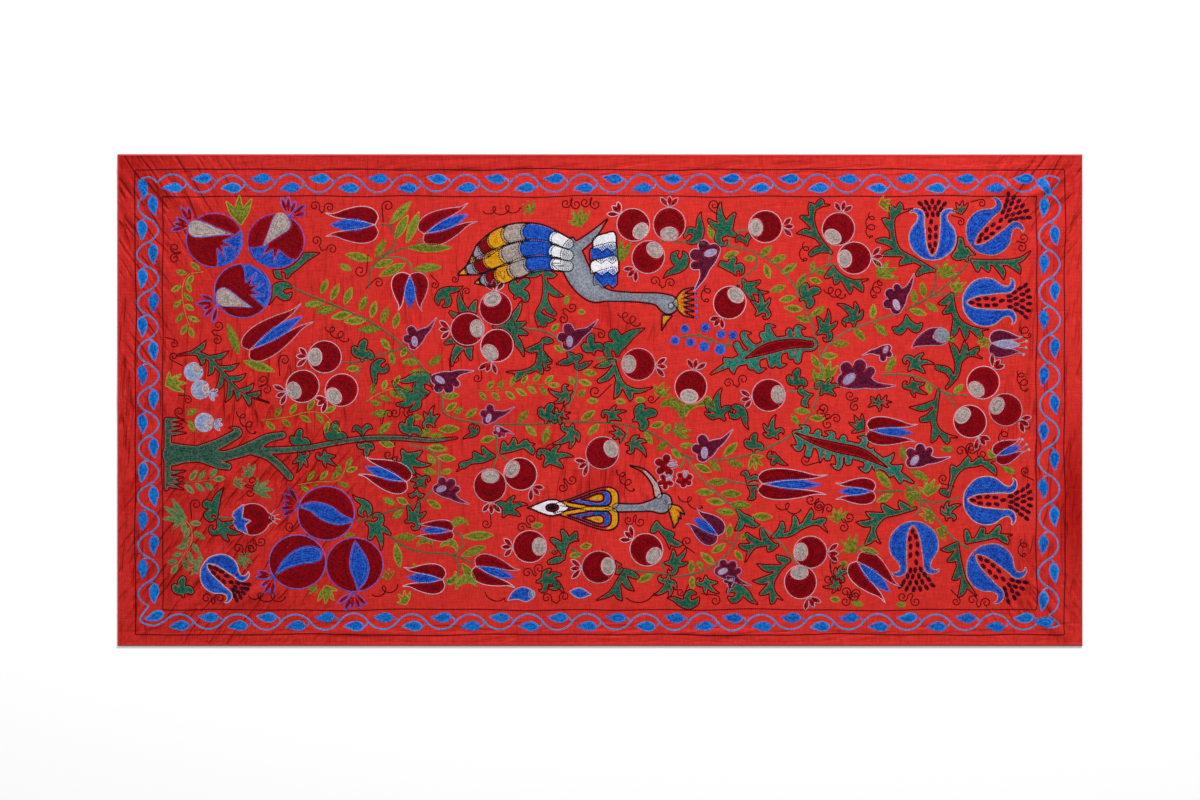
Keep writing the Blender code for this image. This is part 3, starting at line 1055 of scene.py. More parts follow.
# Olive leaflets: middle, turn and length
LEAFLETS = (
    (-78.3, 13.0, 110, 8.0), (-72.8, 7.2, -18, 7.8), (-51.5, 30.5, 168, 6.4), (-54.4, 28.3, 155, 3.3),
    (-46.9, 32.4, 62, 5.2), (-46.2, 29.1, 18, 4.8), (-44.3, 27.8, 26, 6.8), (-42.6, 40.0, 46, 7.4),
    (-42.4, 36.9, 62, 6.4), (-40.0, 36.8, 68, 8.0), (-36.4, 32.5, 0, 10.6), (-36.8, 28.2, 5, 6.6),
    (-58.9, 24.2, 66, 3.8), (-56.6, 23.0, 64, 4.4), (-53.8, 22.2, 66, 4.6), (-61.1, 20.5, 6, 5.2),
    (-58.5, 19.2, 10, 5.4), (-55.2, 18.0, 12, 5.0), (-52.3, 16.9, 4, 5.4), (-49.2, 15.1, 2, 5.4),
    (-50.6, 20.7, 68, 4.4), (-48.4, 19.3, 76, 4.2), (-46.0, 18.0, 72, 4.4), (-43.5, 16.9, 74, 4.0),
    (-45.8, 11.9, -52, 3.6), (-44.4, 8.9, 100, 3.4), (-41.9, 10.2, 60, 2.6), (-40.4, 8.1, 0, 4.4),
    (-38.6, 5.8, 0, 4.8), (-35.2, 8.4, 36, 4.2), (-31.9, 0.9, 3, 4.2), (-31.8, -1.5, 36, 3.2),
    (-30.2, -2.3, 36, 2.9), (-27.5, -2.8, 36, 3.6), (-39.2, -3.7, 0, 2.6), (-37.3, -6.9, 28, 3.5),
    (-32.3, -6.2, 3, 5.2), (-35.0, -7.7, 0, 4.0), (-24.0, -8.4, 15, 3.7), (-34.8, -10.3, -6, 5.0),
    (-32.8, -12.4, -6, 4.4), (-36.0, -12.8, -56, 3.2), (-36.4, -15.3, -10, 3.8), (-32.8, -15.3, 16, 2.9),
    (-7.1, 21.4, 78, 2.8), (-4.0, 18.8, 172, 2.1), (-9.6, 15.5, 42, 2.6), (-8.6, 10.9, -22, 3.2),
    (-16.4, -3.5, 52, 3.8), (-14.7, -6.6, -44, 3.5), (-11.5, -7.5, 74, 4.5), (-2.6, -3.3, 33, 4.0),
    (-1.4, -6.3, 44, 3.8), (-2.2, 5.8, -10, 3.5), (-6.0, 4.1, -62, 2.6), (-3.2, 3.7, -15, 3.4),
    (-4.0, 1.4, 44, 2.6), (-1.6, -0.2, 0, 2.8), (0.8, 8.0, 0, 2.2), (4.4, -0.3, -4, 2.6),
    (8.5, 0.0, 0, 2.6), (12.2, -5.3, 14, 3.6), (14.3, -6.2, 62, 2.9), (10.3, -8.0, -64, 3.8),
    (13.3, -9.8, 40, 3.6), (18.4, -9.7, 5, 3.3), (16.3, -11.5, -48, 3.3), (27.8, -10.6, 44, 4.8),
    (22.0, -14.6, -24, 4.4), (24.5, -14.1, -40, 3.8), (28.9, -13.6, -16, 4.3), (25.0, -17.5, 0, 4.8),
    (22.4, -19.7, -2, 4.4), (28.0, -20.0, -2, 5.0), (24.7, -21.7, -6, 4.6), (30.0, -22.4, -4, 5.2),
    (26.9, -23.9, -6, 5.0), (34.6, -24.9, -2, 5.0), (27.6, -28.0, 82, 3.6), (25.3, -31.7, 32, 4.0),
    (23.0, -33.9, -40, 4.4), (21.4, -35.3, -58, 2.6), (19.5, -35.7, 90, 3.4), (19.7, -39.0, -88, 3.2),
    (9.7, -38.0, 26, 4.4), (29.6, -33.2, -52, 3.0), (30.6, -29.2, 14, 2.2), (-13.5, -26.8, 5, 3.0),
    (-3.0, -31.2, 10, 3.0), (-5.2, -33.1, 8, 3.0), (23.7, 35.8, 104, 3.7), (28.0, 31.0, 20, 3.9),
    (32.0, 30.2, -4, 3.0), (35.4, 31.7, 44, 4.0), (38.1, 30.1, 24, 4.2), (35.7, 27.5, -74, 3.8),
    (40.3, 28.0, 34, 4.6), (38.0, 23.8, 18, 4.0), (40.0, 21.6, 12, 4.0), (42.9, 25.2, 62, 4.4),
    (41.3, 19.5, -6, 4.4), (43.4, 17.3, -16, 3.9), (46.5, 18.9, 32, 4.4), (45.4, 28.3, 78, 3.0),
    (47.1, 27.3, 5, 3.0), (46.0, 25.5, -14, 3.2), (58.3, 18.8, 84, 3.8), (60.0, 15.0, -46, 4.6),
    (55.4, 14.0, -50, 4.2), (51.4, 12.0, 0, 4.2), (49.0, 9.4, 0, 4.0), (67.1, 22.0, 98, 3.7),
    (69.0, 23.5, 98, 4.0), (67.9, 18.8, -16, 4.2), (70.8, 19.8, -32, 3.7), (74.8, 13.0, -12, 3.0),
    (46.0, 8.2, -62, 3.8), (46.0, 5.0, -72, 3.9), (62.1, 7.6, 60, 4.6), (70.2, 2.5, -74, 3.0),
    (76.5, 2.4, 42, 3.1), (43.1, -2.4, -4, 3.8), (46.4, -3.9, 0, 3.8), (41.6, -4.2, -56, 3.2),
    (64.6, -11.3, 94, 3.6), (74.1, -10.5, -2, 3.1), (83.5, -11.7, -60, 2.9), (68.3, -16.1, -26, 5.0),
    (60.6, -17.0, -50, 6.0), (60.8, -20.9, 26, 4.4), (87.3, -15.0, -26, 3.7), (57.5, -32.3, -14, 4.6),
    (52.1, -35.0, -10, 2.2), (50.2, -42.6, -4, 2.6), (55.0, -43.5, -16, 3.2), (64.3, -43.7, 0, 2.6),
    (-26.0, -29.0, 3, 7.2), (-27.0, -32.3, 22, 6.2), (-41.5, -29.3, 0, 5.4), (-43.2, -33.2, -80, 5.8),
    (-28.0, -36.9, -54, 5.6), (-35.4, -22.3, -30, 3.8), (-45.0, -21.7, -26, 3.6),
    (-42.2, -21.6, -28, 3.1), (-43.2, -24.4, 42, 3.5), (-53.5, -29.0, 10, 2.8), (-52.8, 6.7, 4, 3.0),
    (-46.9, -2.9, 2, 4.2), (-46.0, -6.0, 44, 4.4), (-45.5, -9.4, -16, 3.8), (-87.2, -2.6, 28, 3.2),
    (-87.2, -5.6, -62, 3.2),
)

# Sprigs of small leaflets: the stem's points, the number of leaflets and the thread
SPRIGS = (
    (((-84.6, 27.4), (-88.0, 26.6), (-89.2, 23.5), (-88.8, 19.5), (-87.6, 15.5)), 11, "olive"),
    (((-72.5, -4.4), (-66.5, -3.6), (-62.5, -2.6), (-59.0, -3.0), (-57.0, -5.2)), 9, "olive"),
    (((-64.5, -18.1), (-60.5, -17.5), (-56.0, -17.2), (-54.2, -14.4)), 9, "olive"),
    (((-50.0, -0.4), (-47.5, 1.2), (-44.5, 2.4), (-42.4, 2.4)), 7, "olive"),
    (((-26.5, 2.0), (-21.0, 2.1), (-15.5, 3.3), (-11.0, 3.2)), 12, "olive"),
    (((-89.5, -17.8), (-86.0, -17.4), (-82.5, -17.0)), 6, "sage"),
    (((-89.0, -25.2), (-87.4, -27.2), (-87.2, -30.2), (-88.8, -33.0), (-90.2, -35.2)), 11, "sage"),
)

# Long leaves: the spine's points and the tips of their lobes
SPRAYS = (
    (((-12.2, 27.6), (-11.6, 24.5), (-12.0, 21.0), (-13.4, 18.2), (-13.2, 15.6)),
     ((-15.2, 26.6), (-9.8, 26.6), (-8.7, 22.3), (-10.5, 18.8, 0.5), (-10.4, 17.0), (-11.8, 16.0))),
    (((-12.2, 12.8), (-12.9, 10.0), (-13.4, 7.4), (-16.0, 6.0), (-20.0, 6.0)),
     ((-10.8, 12.6, 0.4), (-10.9, 8.4), (-12.6, 5.9), (-18.0, 4.4), (-15.4, 10.6))),
    (((-5.2, 8.6), (-4.7, 7.0), (-3.0, 7.6), (-1.6, 8.3)), ((-6.6, 9.8), (-8.3, 7.9), (-4.2, 9.4))),
    (((3.0, 8.4), (3.6, 5.6), (5.0, 3.0), (8.0, 1.9), (11.2, 2.7)),
     ((-0.2, 7.2), (0.9, 4.4, 0.5), (3.5, 0.9), (6.6, 0.3))),
    (((49.4, 31.4), (46.6, 34.6), (45.2, 38.2), (46.0, 41.2), (49.1, 41.7)),
     ((47.4, 42.6), (45.0, 41.9), (43.6, 39.0, 0.4), (42.9, 35.9), (45.7, 31.8, 0.6))),
    (((71.4, 27.6), (67.4, 29.8), (63.6, 32.0), (62.4, 36.0), (62.9, 39.4), (66.8, 40.9)),
     ((64.2, 41.8), (62.3, 41.2), (60.7, 38.6), (60.1, 34.2, 0.4), (60.7, 31.2), (64.2, 29.2),
      (68.2, 27.4, 0.5))),
    (((49.8, 28.4), (51.2, 26.4), (54.0, 25.2), (57.3, 25.8)),
     ((48.8, 26.6, 0.4), (50.4, 25.0), (53.5, 23.2), (56.0, 23.6))),
    (((79.5, 29.8), (83.0, 29.4), (87.0, 29.4), (89.8, 30.0), (91.9, 31.8)),
     ((80.7, 28.2, 0.4), (83.0, 27.8), (86.2, 26.6), (89.6, 27.6))),
    (((75.2, 22.6), (75.5, 19.2), (76.8, 16.6), (79.6, 15.2), (83.0, 15.1)),
     ((72.9, 20.6), (74.0, 18.8, 0.4), (75.4, 13.8), (78.2, 13.4), (81.4, 13.5))),
    (((74.0, 2.6), (76.0, 5.2), (76.8, 8.4), (79.0, 9.8), (81.6, 8.9)),
     ((73.2, 6.8, 0.6), (75.2, 11.8), (78.0, 11.9), (80.7, 11.0))),
    (((72.3, 2.2), (71.6, -1.6), (71.3, -5.0), (73.0, -7.2), (76.3, -8.0)),
     ((67.4, -1.8), (69.4, -4.2, 0.6), (71.2, -8.6), (74.2, -9.0))),
    (((74.4, -20.4), (75.4, -16.6), (77.4, -14.2), (80.8, -13.6), (85.2, -12.6)),
     ((73.4, -19.6, 0.6), (75.3, -14.2), (78.7, -12.4), (81.5, -12.4), (84.4, -15.4))),
    (((-22.6, -12.0), (-25.0, -12.8), (-27.6, -13.2), (-30.6, -15.2)),
     ((-24.8, -10.8, 0.4), (-26.9, -11.4), (-29.8, -14.0))),
    (((-21.0, -11.2), (-18.6, -10.4), (-16.0, -9.6), (-13.9, -9.4)),
     ((-20.4, -9.6, 0.5), (-18.2, -8.8, 0.4), (-15.6, -8.8), (-14.3, -11.2))),
    (((12.1, -26.1), (13.2, -27.8), (14.4, -29.4), (14.9, -31.8)),
     ((11.2, -28.1), (15.6, -28.8), (17.1, -30.9))),
    (((5.2, -36.4), (4.2, -38.6), (2.4, -41.2), (-0.7, -42.7)),
     ((7.2, -37.4, 0.5), (6.5, -40.3), (4.2, -42.4))),
    (((37.8, -31.0), (35.0, -30.6), (32.6, -31.4), (31.0, -34.6)),
     ((30.5, -31.4, 0.4), (31.8, -29.4, 0.5), (34.6, -28.5, 0.5), (36.0, -32.0))),
    (((36.8, -29.2), (40.4, -28.6), (43.4, -26.8), (46.4, -26.2), (48.6, -28.2)),
     ((39.0, -27.0, 0.5), (41.8, -25.6, 0.5), (45.2, -23.8), (48.0, -25.6))),
    (((40.4, -34.2), (38.0, -36.4), (36.6, -39.0), (37.0, -41.2), (39.0, -42.7)),
     ((38.0, -33.6), (34.4, -35.6), (33.6, -38.8), (35.0, -41.2, 0.4), (36.8, -43.2))),
    (((67.4, -23.1), (63.6, -24.0), (60.4, -24.8), (58.4, -27.4), (58.8, -29.4), (59.9, -30.6)),
     ((64.0, -22.0), (60.3, -22.6), (57.3, -24.4), (55.6, -26.4), (57.3, -30.4, 0.3))),
    (((78.4, -30.4), (81.0, -29.6), (84.0, -29.0), (88.0, -28.8)),
     ((78.4, -28.6, 0.5), (81.8, -27.2), (85.3, -27.0), (87.0, -30.3))),
    (((76.3, -30.6), (76.6, -34.6), (77.8, -38.6), (80.4, -41.8)),
     ((73.6, -32.0), (75.0, -34.2, 0.4), (75.7, -38.2), (77.0, -41.6))),
    (((-7.8, -33.8), (-7.6, -31.6), (-6.6, -29.8), (-4.5, -30.0)),
     ((-9.4, -30.2, 0.6), (-7.6, -28.5, 0.5), (-10.0, -34.4, 0.5), (-5.2, -28.8, 0.4))),
    (((29.3, -23.4), (30.6, -25.2), (31.4, -27.0)), ((29.4, -27.6), (33.4, -26.8), (32.6, -25.6))),
)

# The two large leaves with a maroon core: the middle line with its half widths, how many of its
# points the core has, and the tips of the fingers. Then the leaf with a dark vein.
FEATHERS = (
    (((45.0, 11.9, 1.5), (40.6, 12.0, 1.8), (35.6, 10.9, 1.9), (31.0, 8.9, 1.35), (27.2, 7.5, 0.75),
      (23.8, 5.6, 0.25)),
     4,
     ((42.2, 15.4, "hook"), (40.4, 14.6, "round"), (35.8, 15.6, "hook"), (34.8, 13.9, "round"),
      (30.6, 14.0, "hook"), (29.2, 11.8, "round"), (26.4, 9.0, "spike"), (42.2, 8.5, "round"),
      (40.9, 9.4, "round"), (38.2, 7.5, "hook"), (36.7, 7.6, "round"), (33.8, 6.4, "hook"),
      (32.3, 7.2, "round"), (28.6, 5.6, "spike"))),
    (((41.6, -7.0, 0.5), (45.6, -8.7, 1.4), (50.4, -10.1, 1.8), (56.0, -11.4, 1.75),
      (61.4, -14.4, 1.1), (66.8, -17.6, 0.3)),
     5,
     ((44.2, -6.1, "hook"), (46.6, -7.0, "round"), (49.6, -7.3, "hook"), (52.0, -8.2, "round"),
      (56.6, -8.4, "hook"), (58.4, -10.3, "spike"), (62.8, -11.3, "spike"), (64.6, -13.8, "spike"),
      (42.4, -10.3, "hook"), (44.4, -11.6, "round"), (47.0, -13.3, "spike"), (48.6, -12.2, "round"),
      (50.9, -14.3, "hook"), (53.0, -13.2, "round"), (56.8, -14.9, "hook"), (59.0, -14.3, "round"),
      (61.8, -16.4, "spike"), (63.9, -17.7, "spike"))),
)
VEINED = (
    ((-90.0, 9.6), (-86.6, 10.0), (-83.4, 8.8), (-80.4, 5.6), (-76.8, 1.8), (-70.6, -0.6)),
    ((-84.4, 12.0), (-80.0, 9.8), (-77.8, 7.2), (-76.2, 5.0), (-74.2, 3.0), (-72.6, 1.6), (-84.8, 7.8),
     (-83.2, 5.6), (-81.6, 2.4), (-79.4, 0.2), (-77.2, 0.2), (-74.8, -0.8)),
)

# The trunk's strokes, with their radii, and its root tips: y, where it ends in x, and its rise
TRUNK = (
    [(-91.0, -11.6, 2.5), (-89.6, -11.5, 2.1), (-87.0, -11.5, 1.85), (-84.0, -11.6, 1.7),
     (-80.6, -12.0, 1.2), (-77.0, -11.1, 1.25), (-74.0, -9.9, 1.35), (-71.0, -8.2, 1.05),
     (-67.8, -7.5, 0.8)],
    [(-85.5, -10.9, 1.3), (-81.8, -9.5, 1.2), (-78.9, -8.0, 1.1), (-77.3, -6.9, 0.95),
     (-78.1, -6.0, 0.45), (-79.2, -5.9, 0.1)],
    [(-84.8, -12.4, 1.1), (-81.6, -13.7, 0.95), (-79.4, -14.2, 0.8)],
    [(-74.5, -10.8, 0.9), (-71.0, -12.0, 0.85), (-68.4, -14.0, 0.9), (-66.2, -16.4, 0.85)],
    [(-74.0, -10.8, 0.85), (-70.0, -10.8, 0.8), (-63.0, -10.3, 0.7), (-57.0, -9.2, 0.62),
     (-50.0, -8.2, 0.62), (-43.0, -8.1, 0.58), (-36.0, -8.6, 0.5), (-30.6, -8.1, 0.24)],
    [(-92.6, -4.2, 0.5), (-92.3, -8.0, 0.8), (-92.3, -15.0, 0.8), (-92.6, -18.9, 0.5)],
)
ROOT_TIPS = (
    (-4.2, -89.8, 0.0), (-5.2, -90.2, 0.1), (-6.1, -89.9, 0.2), (-7.1, -89.3, 0.1), (-15.4, -89.4, 0.3),
    (-16.6, -89.9, 0.1), (-17.5, -89.7, -0.3), (-18.5, -89.8, -0.6),
)

# The points of each stem
STEMS = (
    ((-69.4, 28.0), (-67.5, 25.6), (-64.0, 23.2), (-58.0, 20.8), (-50.0, 17.2), (-45.0, 14.0),
     (-41.0, 10.5), (-36.5, 5.2), (-33.9, 1.0), (-33.2, -2.8), (-29.0, -4.4), (-23.5, -5.1),
     (-14.5, -5.2), (-6.0, -4.7), (2.0, -4.9), (8.0, -5.9), (13.0, -8.2), (18.0, -11.8), (24.0, -12.9),
     (31.0, -11.9), (37.0, -9.6), (42.0, -6.6), (45.6, -1.6), (47.0, 4.0), (47.2, 9.0), (46.0, 14.0),
     (44.2, 19.0), (41.6, 24.2), (38.0, 28.4), (33.5, 31.4), (27.0, 33.0), (20.0, 33.6), (12.8, 33.9)),
    ((18.2, -11.8), (21.0, -16.0), (25.0, -20.0), (29.3, -23.5), (33.0, -26.4), (37.0, -29.0),
     (40.5, -33.0), (42.0, -35.5)),
    ((29.4, -24.0), (29.5, -28.0), (28.5, -31.0), (26.0, -34.0), (22.5, -36.3), (17.0, -37.6),
     (12.0, -36.9), (3.4, -36.0)),
    ((-41.0, -9.5), (-36.6, -10.6), (-34.4, -13.6), (-34.8, -17.6), (-38.0, -21.4), (-43.0, -23.2),
     (-49.0, -25.0), (-53.0, -26.3)),
    ((-45.2, -28.8), (-42.5, -31.0), (-38.0, -32.5), (-32.0, -33.0), (-29.0, -34.0), (-26.8, -35.5)),
    ((-31.5, -28.0), (-29.7, -28.8), (-29.2, -31.0), (-31.0, -32.9)),
    ((-33.0, -38.8), (-31.2, -38.2), (-30.0, -36.0), (-31.3, -33.2)),
    ((47.4, 9.2), (49.0, 12.0), (53.0, 14.8), (59.0, 17.0), (65.0, 19.2), (70.4, 22.0), (74.0, 24.6),
     (77.6, 28.0), (80.0, 31.6)),
    ((70.4, 22.0), (71.6, 25.0), (71.6, 29.6)),
    ((70.8, 22.0), (73.6, 22.6), (76.8, 22.2)),
    ((60.0, 5.4), (64.0, 5.5), (68.0, 4.8), (72.0, 2.4), (75.0, 1.2), (78.4, 1.1)),
    ((72.6, 2.0), (74.6, 0.4), (75.8, -1.6)),
    ((64.4, -17.4), (68.5, -21.0), (71.0, -24.0), (74.0, -28.0), (77.0, -30.7), (80.2, -32.2)),
    ((68.8, -21.2), (72.0, -21.9), (77.0, -20.7)),
    ((68.5, -21.2), (68.3, -23.0), (66.6, -25.8)),
    ((58.4, -19.6), (64.6, -19.4)),
    ((54.8, -33.6), (55.0, -32.0), (57.0, -30.4)),
    ((-47.6, 37.3), (-45.4, 37.4), (-43.8, 35.6), (-44.0, 33.0), (-46.6, 30.4), (-48.8, 28.0),
     (-49.4, 23.8)),
    ((-37.8, 35.0), (-39.4, 33.0), (-42.4, 32.2), (-46.6, 30.8)),
    ((-40.1, 27.0), (-40.6, 29.2), (-43.0, 30.4), (-47.0, 30.4)),
    ((-55.0, 8.0), (-51.0, 8.2), (-47.0, 9.6), (-43.0, 10.8), (-41.0, 10.8)),
    ((-52.2, 5.2), (-51.0, 7.2)),
    ((-22.6, 15.9), (-16.0, 15.3), (-10.8, 14.2), (-8.0, 11.6), (-5.4, 8.0)),
    ((-5.2, 8.0), (-5.0, 5.0), (-5.5, 1.5), (-7.0, -1.8)),
    ((4.6, 8.4), (1.5, 9.0), (-1.0, 8.7)),
    ((33.4, 36.2), (30.0, 36.2), (27.8, 34.8), (27.4, 33.0)),
    ((33.4, 31.2), (33.4, 28.6), (31.0, 26.4), (29.2, 24.4)),
    ((-22.0, -7.4), (-21.8, -11.0), (-19.5, -13.2)),
    ((-22.0, -11.6), (-22.8, -14.6)),
    ((-83.6, -25.4), (-81.0, -25.1), (-78.4, -25.3)),
    ((39.6, 1.8), (43.0, 2.0), (46.8, 2.8)),
    ((5.8, -5.6), (5.4, -8.0), (3.4, -10.0)),
    ((18.4, -0.8), (17.2, -5.0), (14.8, -7.0)),
    ((18.0, -12.0), (17.6, -13.8), (16.4, -14.4)),
    ((26.0, -16.8), (31.0, -17.9), (34.0, -17.6)),
    ((13.0, -34.4), (14.0, -36.8)),
    ((25.7, -29.6), (28.2, -30.6)),
    ((-11.4, -32.4), (-8.0, -31.6)),
    ((-6.4, -31.6), (-3.6, -33.2)),
    ((49.4, 33.0), (49.0, 29.0), (50.8, 29.2)),
    ((42.0, 21.6), (43.0, 25.4), (47.0, 28.2), (49.4, 29.0)),
    ((55.4, -7.4), (57.4, -7.0)),
    ((64.6, -13.6), (66.2, -13.2)),
    ((17.0, 13.3), (20.0, 13.8), (23.0, 13.2), (26.5, 11.7), (28.5, 12.0)),
    ((21.0, 13.7), (21.6, 15.0)),
    ((24.0, 12.9), (22.8, 11.8)),
    ((27.0, 11.8), (27.8, 13.2)),
    ((-36.8, -18.6), (-40.6, -18.2)),
)

# A curl: its middle, size and turn
CURLS = (
    (-51.2, 27.6, 1.4, 10), (-47.3, 25.0, 1.1, 150), (-45.3, 41.4, 1.3, 200), (-67.4, 8.5, 1.3, 200),
    (-91.0, 9.3, 1.0, 260), (-91.0, 12.0, 0.9, 90), (-88.0, 0.0, 0.9, 100), (-89.8, -2.5, 1.1, 250),
    (-35.3, 24.6, 0.9, 60), (-28.5, 23.2, 0.9, 200), (-31.0, 25.8, 0.8, 10), (0.2, 14.0, 1.0, 90),
    (-31.0, 8.6, 1.2, 200), (-26.2, 4.7, 1.0, 20), (-45.2, -11.7, 1.1, 10), (-1.0, 1.8, 1.4, 330),
    (24.4, 41.6, 1.3, 250), (81.5, 42.0, 0.9, 120), (77.0, 38.0, 0.9, 90), (11.0, 0.2, 0.9, 330),
    (-45.0, -3.0, 1.0, 180), (73.3, -16.8, 1.1, 270), (-86.3, -22.3, 1.2, 200), (-66.2, -27.0, 1.2, 330),
    (50.0, -34.5, 0.9, 200), (17.2, -41.0, 0.9, 350), (24.6, -42.8, 1.2, 100), (48.7, -38.2, 1.1, 30),
    (-24.3, -26.4, 1.1, 20), (18.6, -30.2, 1.1, 250), (44.0, -12.8, 1.2, 300), (90.8, -15.2, 1.0, 260),
    (91.0, -5.6, 0.9, 100), (-12.0, 17.0, 0.8, 60), (76.0, -43.0, 1.0, 60), (-9.8, -32.4, 0.7, 30),
)
# Two joined curls: their middles, and 1 or -1 for the side on which they meet
DOUBLE_CURLS = (
    (-60.9, 41.4, -57.8, 41.1, 1), (-60.6, 34.0, -57.2, 32.2, 1), (-90.8, 32.5, -90.8, 30.2, -1),
    (-81.5, 15.9, -81.8, 12.8, 1), (-7.3, 42.0, -5.1, 41.8, -1), (-3.2, 42.2, -1.0, 41.8, -1),
    (-22.2, 26.9, -19.4, 27.1, 1), (-7.9, 17.3, -6.0, 19.8, -1), (-72.0, 4.3, -71.2, 2.2, 1),
    (-43.8, -2.7, -40.8, -2.8, -1), (-12.8, -11.2, -10.5, -10.4, 1), (-8.0, -18.7, -6.0, -17.0, -1),
    (11.7, 25.4, 15.1, 25.0, 1), (27.4, 3.6, 30.6, 4.4, 1), (53.4, 1.0, 54.4, -1.4, -1),
    (47.6, -1.8, 50.4, -4.0, 1), (48.6, -5.2, 47.2, -2.6, 1), (77.0, -10.9, 79.2, -10.2, 1),
    (79.4, -10.4, 81.6, -11.5, -1), (-74.3, -17.3, -74.8, -19.8, 1), (-77.3, -31.7, -74.6, -31.9, 1),
    (-74.4, -31.6, -72.4, -30.2, -1), (-84.0, -42.3, -81.2, -42.3, 1), (-16.7, -27.3, -14.7, -25.5, 1),
    (-15.5, -36.9, -13.0, -36.0, 1), (-11.4, -42.3, -7.6, -42.0, 1), (6.1, -25.7, 8.6, -26.0, -1),
    (45.0, -21.3, 46.8, -22.8, -1), (46.8, -22.6, 48.8, -23.2, 1), (53.2, -25.0, 52.0, -27.2, 1),
    (52.5, -41.0, 54.8, -41.4, 1), (52.4, -43.0, 54.4, -41.8, -1), (64.6, -42.0, 67.4, -43.0, -1),
    (79.5, -42.7, 82.4, -43.3, 1), (90.4, 34.6, 90.0, 32.6, 1),
)
# A coil: its start, its end and the number of its loops
COILS = (
    ((-58.6, 15.6), (-53.6, 12.6), 3), ((-25.0, 40.3), (-16.8, 40.8), 3),
    ((-77.4, -2.4), (-73.6, -7.4), 3), ((-75.0, -41.8), (-67.0, -42.4), 3),
    ((-48.6, -41.6), (-43.0, -39.6), 2), ((4.0, 18.6), (8.6, 16.0), 3), ((22.8, 24.4), (22.4, 20.8), 2),
    ((57.8, 40.0), (57.6, 34.4), 3), ((43.8, 33.6), (43.4, 29.4), 2), ((48.0, 23.6), (52.4, 22.2), 3),
    ((59.8, 25.6), (58.2, 21.8), 3), ((90.0, 15.4), (91.6, 13.6), 2), ((89.4, 6.2), (91.0, 1.8), 3),
    ((86.2, -6.4), (86.0, -9.4), 2), ((3.8, -15.0), (7.2, -19.6), 3), ((16.8, -20.4), (22.0, -23.2), 2),
    ((5.6, -42.6), (12.4, -41.8), 1), ((37.6, -22.4), (43.0, -23.8), 2),
    ((-24.4, -41.0), (-20.0, -43.2), 1), ((90.2, -29.8), (90.2, -33.6), 2),
)


# Big fruits with a drop and a crescent: the middle, the turn to the crown, the drop's place, size,
# turn, fatness and whether it is mirrored, and the crescent's radius, start, end and teeth
DROP_FRUITS = (
    ((-82.3, 34.1), 148, (-88.0, 36.5, 9.8, 0, 1.0, False), (6.0, -84, 20, 3)),
    ((-69.2, 33.9), 62, (-66.6, 39.0, 8.4, 220, 1.35, True), (6.1, 194, 316, 3)),
    ((-76.3, 23.3), 205, (-82.0, 22.2, 8.0, -9, 1.3, False), (6.1, -38, 92, 4)),
)
# Big fruits with a stripe: the middle, the turn to the crown, and the stripe's points and radii
STRIPED_FRUITS = (
    ((-58.5, -24.2), 165, ((-64.1, -22.8, 0.1), (-61.5, -22.8, 1.0), (-58.5, -24.1, 1.7),
                           (-55.8, -25.4, 1.2), (-53.0, -25.8, 0.3))),
    ((-64.6, -34.6), 212, ((-69.2, -37.3, 0.1), (-67.0, -35.0, 1.0), (-64.0, -33.4, 1.7),
                           (-61.3, -33.0, 1.7), (-60.0, -33.4, 0.6))),
    ((-52.4, -35.2), -92, ((-52.3, -30.2, 0.1), (-52.0, -32.4, 1.1), (-51.4, -35.4, 2.0),
                           (-51.2, -38.0, 1.3), (-51.7, -40.5, 0.1))),
)

# The stamens of the two buds by the right edge: foot and turn
STAMENS = (
    (88.6, 12.0, 8), (88.4, 11.4, -10), (88.2, 10.8, -30), (88.6, -10.4, 48), (89.0, -10.9, 30),
    (89.2, -11.4, 14),
)


def big_fruits():
    """The large fruits on the left: three with a drop and a crescent, and three with a stripe."""
    for middle, top, inlay, rim in DROP_FRUITS:
        inlays = (("cream", drop(*inlay)), ("blue", serrated_crescent(*middle, *rim)))
        big_fruit(*middle, top, inlays)
    for middle, top, stripe in STRIPED_FRUITS:
        big_fruit(*middle, top, (("blue", [smooth(stripe, 0.3)]),))


def trunk():
    """The thick stem on the left, with root tips towards the edge."""
    parts = [smooth(stroke, 0.5) for stroke in TRUNK]
    for y, end_x, rise in ROOT_TIPS:
        root = (-92.3, y - 0.6 * rise, 0.5)
        bend = (0.5 * (end_x - 91.6), y, 0.42)
        parts.append(smooth([root, bend, (end_x + 0.9, y + rise, 0.14)]))
    embroider(parts, "pine", "wine")


def finger(root, near, tip, kind, back):
    """One finger of a feathered leaf: round, pointed, or hooked back towards the leaf's base."""
    middle = 0.15 * root + 0.4 * near + 0.45 * tip
    if kind == "hook":
        return smooth([(*root, 0.6), (*middle, 0.86), (*tip, 0.7), (*(tip + 1.7 * back), 0.14)], 0.25)
    end = 0.82 if kind == "round" else 0.16
    return smooth([(*root, 0.6), (*middle, 0.78), (*tip, end)], 0.25)


# How far inside a feathered leaf its core stays, and the radius of the core's tip
CORE_INSET = 0.84
CORE_TIP = 0.05


def feather(middle, long, tips):
    """A long leaf with a maroon core inside its green, and fingers along both sides."""
    middle = np.array(middle, float)
    core = middle[:long] - (0, 0, CORE_INSET)
    core[-1, 2] = CORE_TIP
    core[:, 2] = np.maximum(core[:, 2], CORE_TIP)
    vein = smooth(core, 0.3)
    rim = smooth(middle, 0.3)
    parts = [rim]
    for tip_x, tip_y, kind in tips:
        tip = np.array((tip_x, tip_y))
        near = int(np.hypot(*(rim[:, :2] - tip).T).argmin())
        back = rim[0, :2] - rim[near, :2]
        back = back / max(np.hypot(*back), 0.1)
        parts.append(finger(rim[max(0, near - SWEEP), :2], rim[near, :2], tip, kind, back))
    embroider(parts, "teal", "wine", cut=[vein])
    embroider([vein], "maroon", "wine")


